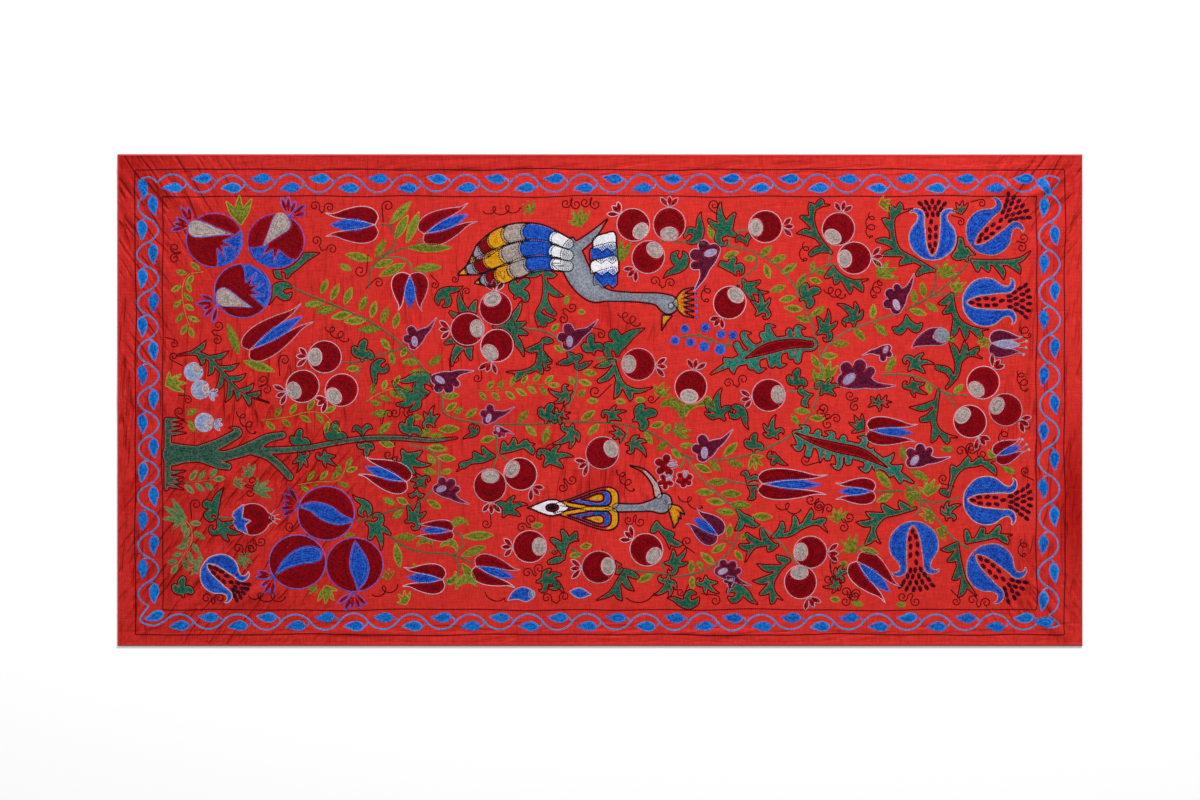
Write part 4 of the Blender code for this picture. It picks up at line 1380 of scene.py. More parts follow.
def veined_leaf():
    """The long leaf above the trunk, narrower than the others, with a dark vein on top."""
    spray(*VEINED, width=0.7)
    sew("wine", smooth(VEINED[0]) + 0.05, rise=1.6 * RISE)


def pale_fruit(x, y, cap, top):
    """A small pale fruit, with three lobes if it has a crown."""
    body = [ellipse(x, y, 2.05, 2.05)]
    spot = [ellipse(*at(x, y, 1.1, cap), 0.75, 0.85, cap)]
    embroider(body, "ice", cut=spot)
    embroider(spot, "cream")
    if top is not None:
        for turn in (-38, 0, 38):
            embroider([lens(*at(x, y, 1.9, top), 2.3, 0.95, top + turn)], "ice")


STAMEN_WIDTH = 0.2


def sepalled_bud():
    """A maroon bud in blue sepals, with pale stamens."""
    sepals = [np.array([
        (-76.0, -22.2), (-78.2, -23.8), (-78.6, -24.8), (-77.9, -25.3), (-78.4, -26.2), (-77.4, -27.7),
        (-75.1, -28.8), (-75.8, -26.7), (-74.5, -25.8), (-76.4, -25.2),
    ])]
    mouth = np.array([(-71.2, -23.9), (-69.4, -24.9), (-69.4, -25.7), (-71.4, -27.2)])
    embroider([ellipse(-74.2, -25.5, 3.7, 3.4), mouth], "maroon", "pale", cut=sepals)
    embroider(sepals, "blue", "lilac")
    for end_x, end_y in ((-69.3, -23.4), (-68.5, -24.4), (-68.2, -25.5), (-68.8, -26.6)):
        bend = ((-70.8 + end_x) / 2, (end_y - 25.1) / 2)
        sew("pale", smooth(((-70.8, -25.1), bend, (end_x, end_y))), width=STAMEN_WIDTH)


def capped_bud():
    """A plum drop with a grey cap."""
    upper = smooth([(66.3, 10.8), (67.6, 13.2), (70.2, 15.2), (73.0, 15.5)])
    lower = smooth([(74.4, 14.6), (74.5, 12.8), (73.0, 11.7), (70.0, 11.6), (67.6, 11.4), (66.3, 10.8)])
    cap = [ellipse(73.0, 13.8, 1.6, 1.55), ellipse(71.6, 13.5, 0.5, 0.5)]
    embroider([np.vstack([upper, lower])], "plum", "lilac", cut=cap)
    embroider(cap, "grey")


def blue_buds():
    """Two blue buds by the lower edge, one of them with a grey tip."""
    upper = smooth([(-19.8, -42.8), (-18.6, -40.9), (-16.6, -39.9), (-14.6, -40.5)])
    lower = smooth([(-14.2, -42.3), (-15.8, -43.1), (-17.6, -42.6), (-19.8, -42.8)])
    embroider([np.vstack([upper, lower])], "blue", "lilac")
    embroider([ellipse(-14.6, -41.5, 0.8, 0.95)], "grey")
    embroider([lens(-1.8, -41.6, 4.8, 2.2, 172, 0.55)], "blue", "lilac")


def buds():
    """The small closed flowers, two of them with grey stamens."""
    tulip(83.3, 12.1, 7.2, 5.8, -3, "plum", "lilac", "lilac")
    tulip(84.4, -12.0, 6.6, 5.0, 22, "maroon", "blue", "lilac")
    tulip(25.4, -29.2, 7.6, 6.4, 143, "plum", "blue", "lilac")
    for x, y, turn in STAMENS:
        stalk = smooth((at(x, y, 0, turn), at(x, y, 1.2, turn), at(x, y, 2.2, turn + 4)))
        sew("grey", stalk, width=STAMEN_WIDTH)
        embroider([ellipse(*at(x, y, 2.5, turn + 4), 0.34, 0.34, count=10)], "grey")
    sepalled_bud()
    capped_bud()
    blue_buds()


# The large bird, from its place on the cloth. A band of a plume: its thread, and where it starts
# and ends along the plume.
BANDS = (
    ("white", 0.0, 0.13), ("blue", 0.13, 0.38), ("cream", 0.38, 0.55), ("ochre", 0.55, 0.7),
    ("maroon", 0.7, 0.8), ("grey", 0.8, 0.9), ("ochre", 0.9, 1.0),
)
# A plume: its root's height, its tip's place, its bend and its half width
PLUMES = (
    (3.4, -25.5, -0.8, 3.4, 1.75), (0.9, -27.6, -3.2, 1.8, 1.75), (-1.4, -24.0, -5.0, -0.1, 1.7),
)
BIRD_BODY = (
    [(-3.4, 4.2, 0.6), (-3.4, 1.0, 2.4), (-2.0, -3.0, 2.8), (1.0, -6.6, 2.4), (4.0, -7.6, 1.3),
     (9.0, -8.0, 1.0), (14.6, -8.4, 1.3), (17.2, -9.6, 2.1)],
    [(-4.0, 1.5, 1.4), (0.4, 4.6, 1.0), (4.2, 8.6, 0.1)],
    [(-1.6, -2.4, 1.4), (-5.6, -1.6, 0.8), (-7.6, -0.9, 0.1)],
)
# A rank of wing feathers: its thread, middle and half width
RANKS = (
    ("blue", 3.8, -4.4, 2.6), ("white", 3.6, -1.9, 3.1), ("blue", 3.4, 0.9, 3.0),
    ("white", 3.6, 3.2, 2.6),
)
CREST_LOBES = 6


def banded_plume(x, y, root_y, tip_x, tip_y, bend, width):
    """One plume of the large bird's tail."""
    bends = [(-11.0, root_y + 0.5 * bend + 0.7), (-18.5, (root_y + tip_y) / 2 + bend)]
    centre = smooth([(-4.2, root_y), *bends, (tip_x, tip_y)], 0.3)
    share = np.linspace(0, 1, len(centre))
    taper = np.clip((1.03 - share) * 5, 0.1, 1)
    radii = width * (0.7 + 0.5 * np.sin(math.pi * share * 0.9)) * taper
    plume = placed([np.column_stack([centre, radii])], x, y)[0]
    for thread, first, last in BANDS:
        a = int(first * (len(plume) - 1))
        b = int(last * (len(plume) - 1)) + 1
        before = [plume[max(0, a - 14):a - 1]] if a > 6 else ()
        embroider([plume[a:b]], thread, "black", cut=before)


def feather_rank(x, y, wide):
    """One rank of wing feathers, round above and with a zigzag edge below."""
    above = smooth([(x - wide, y - 1.2), (x - wide + 0.2, y + 1.4), (x, y + 2.4),
                    (x + wide - 0.4, y + 2.6), (x + wide, y - 0.8)])
    below = [(x + wide * (1 - 0.4 * k), y - (1.8 if k % 2 else 0.9)) for k in range(1, 5)]
    return np.vstack([above, below])


def bird_head(x, y):
    """The large bird's crest, bill and eye."""
    sides = [k - (CREST_LOBES - 1) / 2 for k in range(CREST_LOBES)]
    crest = []
    for side in sides:
        bend = (20.4, -9.2 + 0.9 * side, 0.42)
        crest.append(smooth([(18.6, -9.2, 0.4), bend, (22.6, -9.2 + 1.25 * side, 0.12)]))
    embroider(placed(crest, x, y), "ochre", "black")
    for side in sides:
        dot = ellipse(23.2, -9.2 + 1.3 * side, 0.32, 0.32, count=10)
        embroider(placed([dot], x, y), "blue")
    bill = np.array([(15.9, -11.8), (18.2, -11.9), (17.0, -13.2), (15.7, -15.4)])
    embroider(placed([bill], x, y), "ochre", "black")
    embroider(placed([ellipse(17.8, -9.9, 0.62, 0.72)], x, y), "white", "black")
    embroider(placed([ellipse(17.9, -10.0, 0.3, 0.36, count=10)], x, y), "black")


def ornamental_bird(x, y):
    """A standing bird of plain shape: a fanned tail of banded plumes, a raised wing and a crest."""
    for plume in PLUMES:
        banded_plume(x, y, *plume)
    embroider(placed([smooth(stroke, 0.4) for stroke in BIRD_BODY], x, y), "grey", "black")
    for thread, wing_x, wing_y, wide in RANKS:
        embroider(placed([feather_rank(wing_x, wing_y, wide)], x, y), thread, "black")
    bird_head(x, y)


WING = outline(
    [(0, 0), (0.02, 0.13), (0.14, 0.2), (0.38, 0.2), (0.68, 0.13), (1.0, 0.06)],
    [(1.0, 0.06), (0.7, -0.02), (0.4, -0.12), (0.16, -0.16), (0.03, -0.1), (0, 0)], step=0.04,
)


# The small bird's wings: the lengths of the nested bands, from the outer one, and their threads
WING_BANDS = ((14.2, "ochre"), (9.4, "blue"), (4.8, "ochre"))


def small_bird_wing(x, y, side):
    """One wing of the small bird: drops inside each other."""
    whole = WING_BANDS[0][0]
    nested = [placed([WING * (1, side)], 11.0 - 0.34 * (whole - size), 2.5 * side, size, 180 + 3 * side)
              for size, _ in WING_BANDS]
    for (_, thread), shape, hole in zip(WING_BANDS, nested, nested[1:] + [()]):
        embroider(placed(shape, x, y), thread, "black", cut=placed(hole, x, y), gap=0.02)


def small_bird(x, y):
    """A small flying bird of plain shape: a spindle tail, two drop wings in bands, a long bill."""
    tail = [lens(-8.8, 0.2, 9.4, 3.6, 0, 0.6)]
    spot = [ellipse(-3.2, 0.2, 1.3, 0.75)]
    embroider(placed(tail, x, y), "white", "black", cut=placed(spot, x, y))
    embroider(placed(spot, x, y), "black")
    for side in (1, -1):
        small_bird_wing(x, y, side)
    neck = [(10.6, 0.2, 0.95), (15.0, 0.2, 0.85), (18.0, 0.6, 1.2), (20.2, 0.9, 1.95), (20.6, 1.6, 1.7)]
    bill = [(19.4, 3.0, 0.9), (18.6, 5.4, 0.62), (16.4, 8.0, 0.42), (13.4, 9.2, 0.08)]
    crest = []
    for k in range(4):
        crest.append(smooth([(22.0, 0.6 - 0.3 * k, 0.4), (23.8 - 0.3 * k, 0.0 - 0.9 * k, 0.5),
                             (25.0 - 0.75 * k, -1.2 - 0.95 * k, 0.12)]))
    embroider(placed([smooth(neck, 0.4)], x, y), "grey", "black")
    embroider(placed([smooth(bill, 0.4)], x, y), "cream", "black")
    embroider(placed(crest, x, y), "ochre", "black")
    embroider(placed([ellipse(21.0, 1.4, 0.5, 0.62)], x, y), "black")


def place_covers():
    """Note the outlines of the fruits and flowers, under which leaves and stems stop."""
    for x, y, *_ in SMALL_FRUITS:
        covers.append(ellipse(x, y, 3.75, 3.75))
    for (x, y), *_ in DROP_FRUITS + STRIPED_FRUITS:
        covers.append(ellipse(x, y, 6.3, 6.1))
    for x, y, _, size, _ in OPEN_FRUITS:
        covers.append(ellipse(x, y, 1.05 * size, 1.08 * size))
    for x, y, length, height, turn in TULIPS:
        covers.append(ellipse(*at(x, y, 0.4 * length, turn), 0.44 * length, 0.5 * height, turn))
    for x, y, size, turn, *_ in PALMETTES:
        covers.append(ellipse(*at(x, y, 0.12 * size, turn), 0.42 * size, 0.28 * size, turn))


def design():
    """Sew the whole design; its order is also the order of the random draws."""
    place_covers()
    border()
    for points in STEMS:
        stem(points)
    big_fruits()
    trunk()
    veined_leaf()
    for one in FEATHERS:
        feather(*one)
    for one in DARK_LEAVES:
        leaf(*one)
    for one in SPRAYS:
        spray(*one)
    for thread, kinds in PLAIN_LEAVES.items():
        for kind, places in kinds.items():
            for place in places:
                leaf(kind, *place, thread=thread)
    for x, y, turn, length in LEAFLETS:
        leaflet(x, y, turn, length, min(2.0, 0.9 + 0.17 * length))
    motifs = (
        (sprig, SPRIGS), (small_fruit, SMALL_FRUITS), (pale_fruit, PALE_FRUITS),
        (open_fruit, OPEN_FRUITS), (tulip, TULIPS), (palmette, PALMETTES), (rosette, ROSETTES),
    )
    for motif, table in motifs:
        for one in table:
            motif(*one)
    for x, y, size in BERRIES:
        embroider([ellipse(x, y, size, size)], "blue")
    buds()
    for motif, table in ((curl, CURLS), (double_curl, DOUBLE_CURLS), (coil, COILS)):
        for one in table:
            motif(*one)
    ornamental_bird(-2.6, 30.0)
    small_bird(-7.0, -23.2)


# Meshes


def mesh_piece(name, points, faces):
    """A mesh object from arrays of points and of faces with equal numbers of corners."""
    mesh = bpy.data.meshes.new(name)
    corners = faces.shape[1]
    mesh.vertices.add(len(points))
    mesh.vertices.foreach_set("co", points.astype(np.float32).ravel())
    mesh.loops.add(faces.size)
    mesh.loops.foreach_set("vertex_index", faces.astype(np.int32).ravel())
    mesh.polygons.add(len(faces))
    mesh.polygons.foreach_set("loop_start", np.arange(0, faces.size, corners, dtype=np.int32))
    mesh.update(calc_edges=True)
    mesh.validate()
    mesh.shade_smooth()
    piece = bpy.data.objects.new(name, mesh)
    bpy.context.scene.collection.objects.link(piece)
    return piece


# How far a row's sides go into the cloth, in metres
SINK = 0.0004

# A row is widest at each stitch's middle and lower and narrower at the joints and at open ends
BEAD_WIDTH = 1.12
JOINT_WIDTH = 0.74
JOINT_RISE = 0.45
END_WIDTH = 0.6

# How much the tone varies by row and by stitch, and a pad's dark tone, painted shade in the dips between
# rows
ROW_TONE = 0.85
STITCH_TONE = 0.4
PAD_SHADE_TONE = -0.9


def ribbon(row):
    """The points of one row as a half-round, beaded ribbon: left, middle and right in turn."""
    line = row.points
    if row.closed:
        ahead = np.roll(line, -1, 0) - np.roll(line, 1, 0)
    else:
        ahead = np.gradient(line, axis=0)
    ahead /= np.maximum(np.hypot(*ahead.T), 1e-9)[:, None]
    across = np.column_stack([-ahead[:, 1], ahead[:, 0]])
    bead = np.arange(len(line)) % 2 == 1
    half = row.width / 2 * np.where(bead, BEAD_WIDTH, JOINT_WIDTH)
    top = row.rise * np.where(bead, 1.0, JOINT_RISE)
    if not row.closed:
        half[[0, -1]] *= END_WIDTH
        top[[0, -1]] = 0.0
    sides = [line + across * half[:, None], line, line - across * half[:, None]]
    height = np.full((len(line), 3), -SINK)
    height[:, 1] = top * CM
    return np.column_stack([np.stack(sides, axis=1).reshape(-1, 2) * CM, height.ravel()])


def thread_mesh(name, thread_rows, thread_pads):
    """All rows and pads of one thread as one mesh, draped on the cloth."""
    points, faces, tones = [], [], []
    start = 0
    for row in thread_rows:
        count = len(row.points)
        points.append(ribbon(row))
        here = start + 3 * np.arange(count if row.closed else count - 1)
        there = start + 3 * ((np.arange(len(here)) + 1) % count)
        for side in (0, 1):
            faces.append(np.column_stack([here + side, here + side + 1, there + side + 1, there + side]))
        tone = ROW_TONE * row.tone + STITCH_TONE * rng.uniform(-1, 1, count)
        tones.append(np.repeat(tone, 3))
        start += 3 * count
    for places, pad_faces in thread_pads:
        points.append(np.column_stack([places * CM, np.full(len(places), PAD_RISE * CM)]))
        faces.append(pad_faces + start)
        # Painted shade: the pads under the rows are dark, so the dips between rows look shaded
        tones.append(np.full(len(places), PAD_SHADE_TONE))
        start += len(places)
    points = np.vstack(points)
    points[:, 2] += face_height(points[:, 0], points[:, 1])
    piece = mesh_piece(name, points, np.vstack(faces))
    tone = piece.data.attributes.new("tone", "FLOAT", "POINT")
    tone.data.foreach_set("value", np.concatenate(tones).astype(np.float32))
    return piece


def cell_corners(index, order):
    """The four corners of every cell of a grid of point numbers, in the given order."""
    corners = {
        "low left": index[:-1, :-1], "low right": index[:-1, 1:],
        "high right": index[1:, 1:], "high left": index[1:, :-1],
    }
    return np.stack([corners[corner] for corner in order], -1).reshape(-1, 4).tolist()


def cloth_mesh():
    """The silk: a fine upper face on the folds and wrinkles, and an underside on the folds."""
    top_x, top_y = np.meshgrid(TOP_X, TOP_Y)
    under_x, under_y = np.meshgrid(TOP_X[::2], TOP_Y[::2])
    upper = np.column_stack([top_x.ravel(), top_y.ravel(), TOP_Z.ravel()])
    under = np.column_stack([under_x.ravel(), under_y.ravel(), lift(under_x, under_y).ravel()])
    points = np.vstack([upper, under])
    top_index = np.arange(len(upper)).reshape(top_x.shape)
    under_index = len(upper) + np.arange(len(under)).reshape(under_x.shape)
    faces = cell_corners(top_index, ("low left", "low right", "high right", "high left"))
    faces += cell_corners(under_index, ("low left", "high left", "high right", "low right"))
    rims = (
        (top_index[0], under_index[0]), (top_index[:, -1], under_index[:, -1]),
        (top_index[-1, ::-1], under_index[-1, ::-1]), (top_index[::-1, 0], under_index[::-1, 0]),
    )
    for top, below in rims:
        for k in range(len(below) - 1):
            rim_face = (below[k], below[k + 1], top[2 * k + 2], top[2 * k + 1], top[2 * k])
            faces.append([int(corner) for corner in rim_face])
    mesh = bpy.data.meshes.new("silk")
    mesh.from_pydata(points.tolist(), [], faces)
    mesh.validate()
    mesh.shade_smooth()
    zones = {f"pull_{turn % 180}": places for turn, places in PULLS.items()}
    # The strength of the painted shade at each point
    zones["shade"] = PAINTED_SHADE_ZONES
    for name, (base, *places) in zones.items():
        strength = mesh.attributes.new(name, "FLOAT", "POINT")
        values = zone_strength(points[:, 0], points[:, 1], base, places)
        strength.data.foreach_set("value", values.astype(np.float32))
    piece = bpy.data.objects.new("silk", mesh)
    bpy.context.scene.collection.objects.link(piece)
    return piece


# Materials


def linear(red, green, blue):
    """A colour from its usual 0 to 255 values."""
    def one(value):
        """One channel, made linear."""
        value /= 255
        return value / 12.92 if value <= 0.04045 else ((value + 0.055) / 1.055) ** 2.4
    return (one(red), one(green), one(blue), 1.0)


def feed(tree, socket, value):
    """Give an input a value, or link it to another node's output."""
    if isinstance(value, bpy.types.NodeSocket):
        tree.links.new(value, socket)
    else:
        socket.default_value = value


def node(tree, kind, **settings):
    """A new node. Each setting is an input, as a value or an output to link, or an attribute."""
    made = tree.nodes.new(kind)
    for key, value in settings.items():
        if key in made.inputs:
            feed(tree, made.inputs[key], value)
        else:
            setattr(made, key, value)
    return made


def arithmetic(tree, operation, first, second):
    """The result of one operation on two values or outputs."""
    made = node(tree, "ShaderNodeMath", operation=operation)
    feed(tree, made.inputs[0], first)
    feed(tree, made.inputs[1], second)
    return made.outputs["Value"]


def ranged(tree, value, source, target=(0.0, 1.0), **settings):
    """A value taken from one range of numbers to another."""
    made = node(tree, "ShaderNodeMapRange", Value=value, **settings)
    for end, k in (("Min", 0), ("Max", 1)):
        made.inputs["From " + end].default_value = source[k]
        made.inputs["To " + end].default_value = target[k]
    return made.outputs["Result"]


def mixed(tree, factor, first, second, **settings):
    """One colour mixed with another by a factor."""
    made = node(tree, "ShaderNodeMix", data_type="RGBA", **settings, Factor=factor, A=first, B=second)
    return made.outputs["Result"]


def noise(tree, place, scale, detail, **settings):
    """A noise texture's value at a place."""
    made = node(tree, "ShaderNodeTexNoise", Vector=place, Scale=scale, Detail=detail, **settings)
    return made.outputs["Fac"]


def relief(tree, height, strength, depth, **settings):
    """A surface direction bent by a height, on top of another one if that is given."""
    made = node(tree, "ShaderNodeBump", Height=height, Strength=strength, Distance=depth, **settings)
    return made.outputs["Normal"]


def attribute(tree, name):
    """The value of a mesh's attribute."""
    return node(tree, "ShaderNodeAttribute", attribute_name=name).outputs["Fac"]


def object_place(tree):
    """The place of each point, in metres."""
    return node(tree, "ShaderNodeTexCoord").outputs["Object"]


def new_material(name):
    """A new material, its node tree and its shader."""
    material = bpy.data.materials.new(name)
    material.use_nodes = True
    tree = material.node_tree
    return material, tree, tree.nodes["Principled BSDF"]


def set_shader(tree, shader, **settings):
    """Give the shader its colour, roughness and other inputs."""
    names = {"color": "Base Color", "roughness": "Roughness", "specular": "Specular IOR Level",
             "normal": "Normal"}
    for key, value in settings.items():
        feed(tree, shader.inputs[names[key]], value)


# The scales of a thread's specks and twist and of the silk's clouds, and the middle range of a
# noise, which is what shows
SPECK_SCALE = 260.0
TWIST_SCALE = 1400.0
CLOUD_SCALE = 3.0
NOISE_RANGE = (0.3, 0.7)

# The depth of the weave and of the twist, in metres
FINE_DEPTH = 0.0004


def thread_material(name, dark, light):
    """Twisted silk thread: rows and stitches differ in tone, with specks between."""
    material, tree, shader = new_material(name)
    place = object_place(tree)
    tone = ranged(tree, attribute(tree, "tone"), (-1.3, 1.3))
    speck = ranged(tree, noise(tree, place, SPECK_SCALE, 2.0), NOISE_RANGE, (-0.35, 0.35))
    tint = mixed(tree, arithmetic(tree, "ADD", tone, speck), dark, light, clamp_factor=True)
    twist = relief(tree, noise(tree, place, TWIST_SCALE, 2.0), 0.35, FINE_DEPTH)
    set_shader(tree, shader, color=tint, normal=twist, roughness=0.5, specular=0.05)
    return material


THREADS = {
    # thread: its dark and its light tone
    "maroon": ((80, 0, 6), (148, 0, 14)),
    "wine": ((50, 0, 6), (86, 0, 10)),
    "cream": ((116, 104, 100), (190, 174, 168)),
    "pale": ((138, 120, 136), (194, 178, 192)),
    "blue": ((6, 38, 124), (44, 104, 204)),
    "azure": ((0, 62, 146), (14, 132, 208)),
    "vine": ((0, 84, 140), (20, 138, 200)),
    "green": ((8, 62, 46), (50, 112, 86)),
    "pine": ((16, 50, 40), (74, 106, 88)),
    "teal": ((14, 78, 68), (64, 138, 118)),
    "sage": ((56, 84, 48), (108, 134, 84)),
    "stem": ((24, 68, 44), (74, 110, 78)),
    "ice": ((94, 110, 144), (170, 178, 202)),
    "olive": ((72, 80, 12), (136, 142, 52)),
    "dark_olive": ((46, 52, 8), (90, 94, 28)),
    "plum": ((56, 2, 26), (108, 28, 56)),
    "seed": ((36, 0, 14), (70, 4, 30)),
    "lilac": ((112, 106, 142), (168, 162, 190)),
    "grey": ((92, 98, 110), (156, 160, 170)),
    "ochre": ((160, 104, 0), (220, 160, 34)),
    "white": ((190, 188, 194), (236, 234, 238)),
    "black": ((6, 4, 10), (24, 22, 30)),
}


# Where the fine wrinkles of each turn are strong, in metres: x, y, reach in x and in y, strength
PULLS = {
    # turn of the wrinkles: the base strength everywhere, then the places
    55: (0.03, (-0.84, -0.33, 0.20, 0.22, 1.0), (-0.66, -0.22, 0.16, 0.16, 0.8),
         (0.96, 0.45, 0.10, 0.10, 0.8)),
    -58: (0.03, (-0.95, 0.42, 0.14, 0.13, 0.85), (0.94, -0.45, 0.10, 0.07, 0.5),
          (-0.97, 0.15, 0.05, 0.15, 0.5)),
    86: (0.22, (-0.78, 0.02, 0.22, 0.10, 0.8), (0.0, -0.18, 0.16, 0.12, 0.6),
         (0.02, 0.16, 0.14, 0.06, 0.5), (-0.45, 0.05, 0.30, 0.30, 0.25),
         (0.95, -0.1, 0.09, 0.40, 0.7), (-1.0, -0.1, 0.03, 0.50, 0.7)),
    3: (0.05, (0.0, -0.49, 1.0, 0.02, 0.25), (0.0, 0.49, 1.0, 0.02, 0.2)),
}


def zone_strength(x, y, base, places):
    """A strength at each point that is more near the places."""
    strength = np.full(x.shape, base)
    for place_x, place_y, reach_x, reach_y, most in places:
        away = ((x - place_x) / reach_x) ** 2 + ((y - place_y) / reach_y) ** 2
        strength += most * np.exp(-away)
    return np.clip(strength, 0, 1)


# Where painted shade deepens the ground's colour, in the same form
PAINTED_SHADE_ZONES = (
    0.0, (1.015, -0.21, 0.040, 0.15, 0.95), (-1.0, 0.49, 0.09, 0.08, 0.65),
    (-0.3, 0.515, 1.1, 0.03, 0.3), (1.01, 0.47, 0.05, 0.07, 0.35), (0.97, 0.32, 0.05, 0.03, 0.35),
    (-0.80, -0.20, 0.13, 0.05, 0.30), (-0.70, -0.44, 0.10, 0.03, 0.25),
    (0.03, 0.15, 0.05, 0.05, 0.25), (0.0, -0.17, 0.05, 0.05, 0.35), (0.92, -0.40, 0.05, 0.09, 0.25),
    (-0.92, -0.30, 0.03, 0.12, 0.25), (-0.62, -0.16, 0.06, 0.05, 0.3),
)


# The length, width and depth of the fine wrinkles in the silk's relief, the scales of its slubs
# both ways, and its colours: the ground's two ends, and the painted shade of a trough and of a shaded
# zone
WRINKLE_SIZE = (0.092, 0.0165, 1.0)
WRINKLE_DEPTH = 0.0052
SLUB_SCALES = ((46.0, 430.0, 1.0), (390.0, 42.0, 1.0))
DARK_RED = (156, 20, 18)
LIGHT_RED = (202, 45, 37)
TROUGH_SHADE = (232, 104, 92)
ZONE_SHADE_TINT = (204, 84, 72)


def fine_wrinkles(tree, place):
    """Fine wrinkles as shader relief and painted shade: how deep their troughs are at each point."""
    total = None
    for turn in PULLS:
        stretch = node(
            tree, "ShaderNodeMapping", vector_type="TEXTURE", Vector=place,
            Rotation=(0, 0, math.radians(turn)), Scale=WRINKLE_SIZE,
            Location=(0.11 * turn, 0.07 * turn, 0.0),
        )
        wave = noise(tree, stretch.outputs["Vector"], 1.0, 1.4, Distortion=0.22)
        ridge = ranged(tree, wave, (0.34, 0.52), interpolation_type="SMOOTHSTEP")
        strong = attribute(tree, f"pull_{turn % 180}")
        trough = arithmetic(tree, "SUBTRACT", strong, arithmetic(tree, "MULTIPLY", ridge, strong))
        total = trough if total is None else arithmetic(tree, "ADD", total, trough)
    return total


def silk_material():
    """Red silk: slubs both ways, a soft sheen, and painted shade: a ground deeper at its left end and in
    troughs and shaded zones.
    """
    material, tree, shader = new_material("red_silk")
    place = object_place(tree)
    slubs = []
    for scale in SLUB_SCALES:
        stretch = node(tree, "ShaderNodeMapping", Vector=place, Scale=scale)
        slubs.append(noise(tree, stretch.outputs["Vector"], 1.0, 3.0))
    weave = arithmetic(tree, "ADD", *slubs)
    along = node(tree, "ShaderNodeSeparateXYZ", Vector=place).outputs["X"]
    # Painted shade: the ground's colour is mixed darker towards its left end
    left_end_shade = ranged(tree, along, (-1.05, 0.15), (0.33, 0.62), interpolation_type="SMOOTHSTEP")
    cloud = ranged(tree, noise(tree, place, CLOUD_SCALE, 3.0), NOISE_RANGE, (-0.12, 0.12))
    grain = ranged(tree, weave, (0.7, 1.3), (-0.34, 0.34))
    tone = arithmetic(tree, "ADD", arithmetic(tree, "ADD", left_end_shade, cloud), grain)
    tint = mixed(tree, tone, linear(*DARK_RED), linear(*LIGHT_RED), clamp_factor=True)
    # Painted shade: the wrinkles' troughs darken the colour as well as bending the relief
    troughs = fine_wrinkles(tree, place)
    shade = ranged(tree, troughs, (0.1, 1.0), (0.0, 0.5))
    tint = mixed(tree, shade, tint, linear(*TROUGH_SHADE), blend_type="MULTIPLY")
    # Painted shade: the shaded zones darken the colour further
    zone_shade_strength = attribute(tree, "shade")
    tint = mixed(tree, zone_shade_strength, tint, linear(*ZONE_SHADE_TINT), blend_type="MULTIPLY")
    height = arithmetic(tree, "MULTIPLY", troughs, -1.0)
    wrinkled = relief(tree, height, 1.0, WRINKLE_DEPTH)
    woven = relief(tree, weave, 0.3, FINE_DEPTH, Normal=wrinkled)
    set_shader(tree, shader, color=tint, normal=woven, roughness=0.7, specular=0.1)
    return material


def hem_shade_material():
    """The turned edge, in the same silk, with painted shade that makes it deeper where it rolls under."""
    material, tree, shader = new_material("hem_silk_shaded")
    speck = noise(tree, object_place(tree), 220.0, 2.0)
    # Painted shade: reds darker than the ground's, for the rolled edge
    tint = mixed(tree, speck, linear(150, 22, 20), linear(182, 36, 32))
    set_shader(tree, shader, color=tint, roughness=0.5)
    return material


# The scene

# The photo's width and the cloth's width in it, in pixels, and the camera that takes it so
PHOTO_WIDTH_PX = 1200
CLOTH_WIDTH_PX = 964.5
LENS = 85
SENSOR_WIDTH = 36

# The width of the hem that is in the material with painted shade, in metres
HEM_SEEN = 0.004


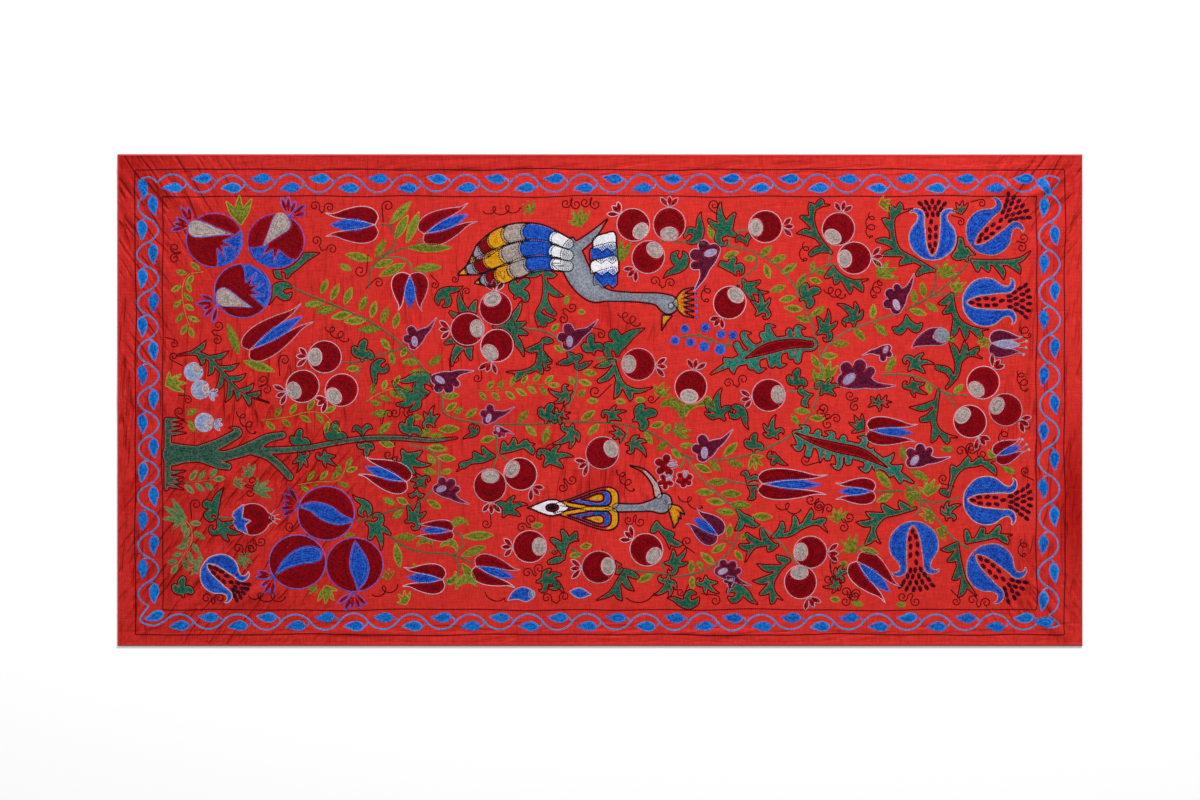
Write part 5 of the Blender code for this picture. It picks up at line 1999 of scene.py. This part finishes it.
def area_light(name, place, size, power):
    """A rectangular lamp that faces the middle of the cloth."""
    data = bpy.data.lights.new(name, "AREA")
    data.shape = "RECTANGLE"
    data.size, data.size_y = size
    data.energy = power
    lamp = bpy.data.objects.new(name, data)
    lamp.location = place
    lamp.rotation_euler = (-Vector(place)).to_track_quat("-Z", "Y").to_euler()
    bpy.context.scene.collection.objects.link(lamp)


def studio():
    """A white floor, soft light, and a camera straight above the cloth."""
    scene = bpy.context.scene
    scene.view_settings.view_transform = "Standard"
    bpy.ops.mesh.primitive_plane_add(size=14, location=(0, 0, -0.0002))
    floor = bpy.context.object
    floor.name = "floor"
    material, tree, shader = new_material("floor_white")
    set_shader(tree, shader, color=(0.93, 0.93, 0.93, 1), roughness=0.9)
    floor.data.materials.append(material)
    world = bpy.data.worlds.new("world")
    world.use_nodes = True
    background = world.node_tree.nodes["Background"]
    background.inputs["Color"].default_value = (1, 1, 1, 1)
    background.inputs["Strength"].default_value = 0.49
    scene.world = world
    area_light("key", (1.5, 5.6, 2.9), (1.6, 1.6), 620)
    area_light("fill", (-3.4, 1.6, 4.2), (2.6, 2.6), 50)
    camera = bpy.data.cameras.new("camera")
    camera.lens = LENS
    camera.sensor_width = SENSOR_WIDTH
    frame_width = PHOTO_WIDTH_PX / CLOTH_WIDTH_PX * LENGTH
    eye = bpy.data.objects.new("camera", camera)
    eye.location = (0.0, 0.0, frame_width * camera.lens / camera.sensor_width)
    scene.collection.objects.link(eye)
    scene.camera = eye


def silk_piece():
    """The cloth with its two materials, the one with painted shade along its outside edge."""
    silk = cloth_mesh()
    silk.data.materials.append(silk_material())
    silk.data.materials.append(hem_shade_material())
    centres = np.empty(len(silk.data.polygons) * 3)
    silk.data.polygons.foreach_get("center", centres)
    centres = centres.reshape(-1, 3)
    inside = np.minimum(LENGTH / 2 - np.abs(centres[:, 0]), WIDTH / 2 - np.abs(centres[:, 1]))
    silk.data.polygons.foreach_set("material_index", (inside < HEM_SEEN).astype(np.int32))
    return silk


def main():
    """Sew the design, then make the silk and one piece for each thread."""
    design()
    silk = silk_piece()
    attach(silk, "root")
    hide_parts("cloth")
    for name, (dark, light) in THREADS.items():
        piece = thread_mesh("thread_" + name, rows[name], pads[name])
        piece.data.materials.append(thread_material("silk_" + name, linear(*dark), linear(*light)))
        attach(piece, "root")
    studio()


main()
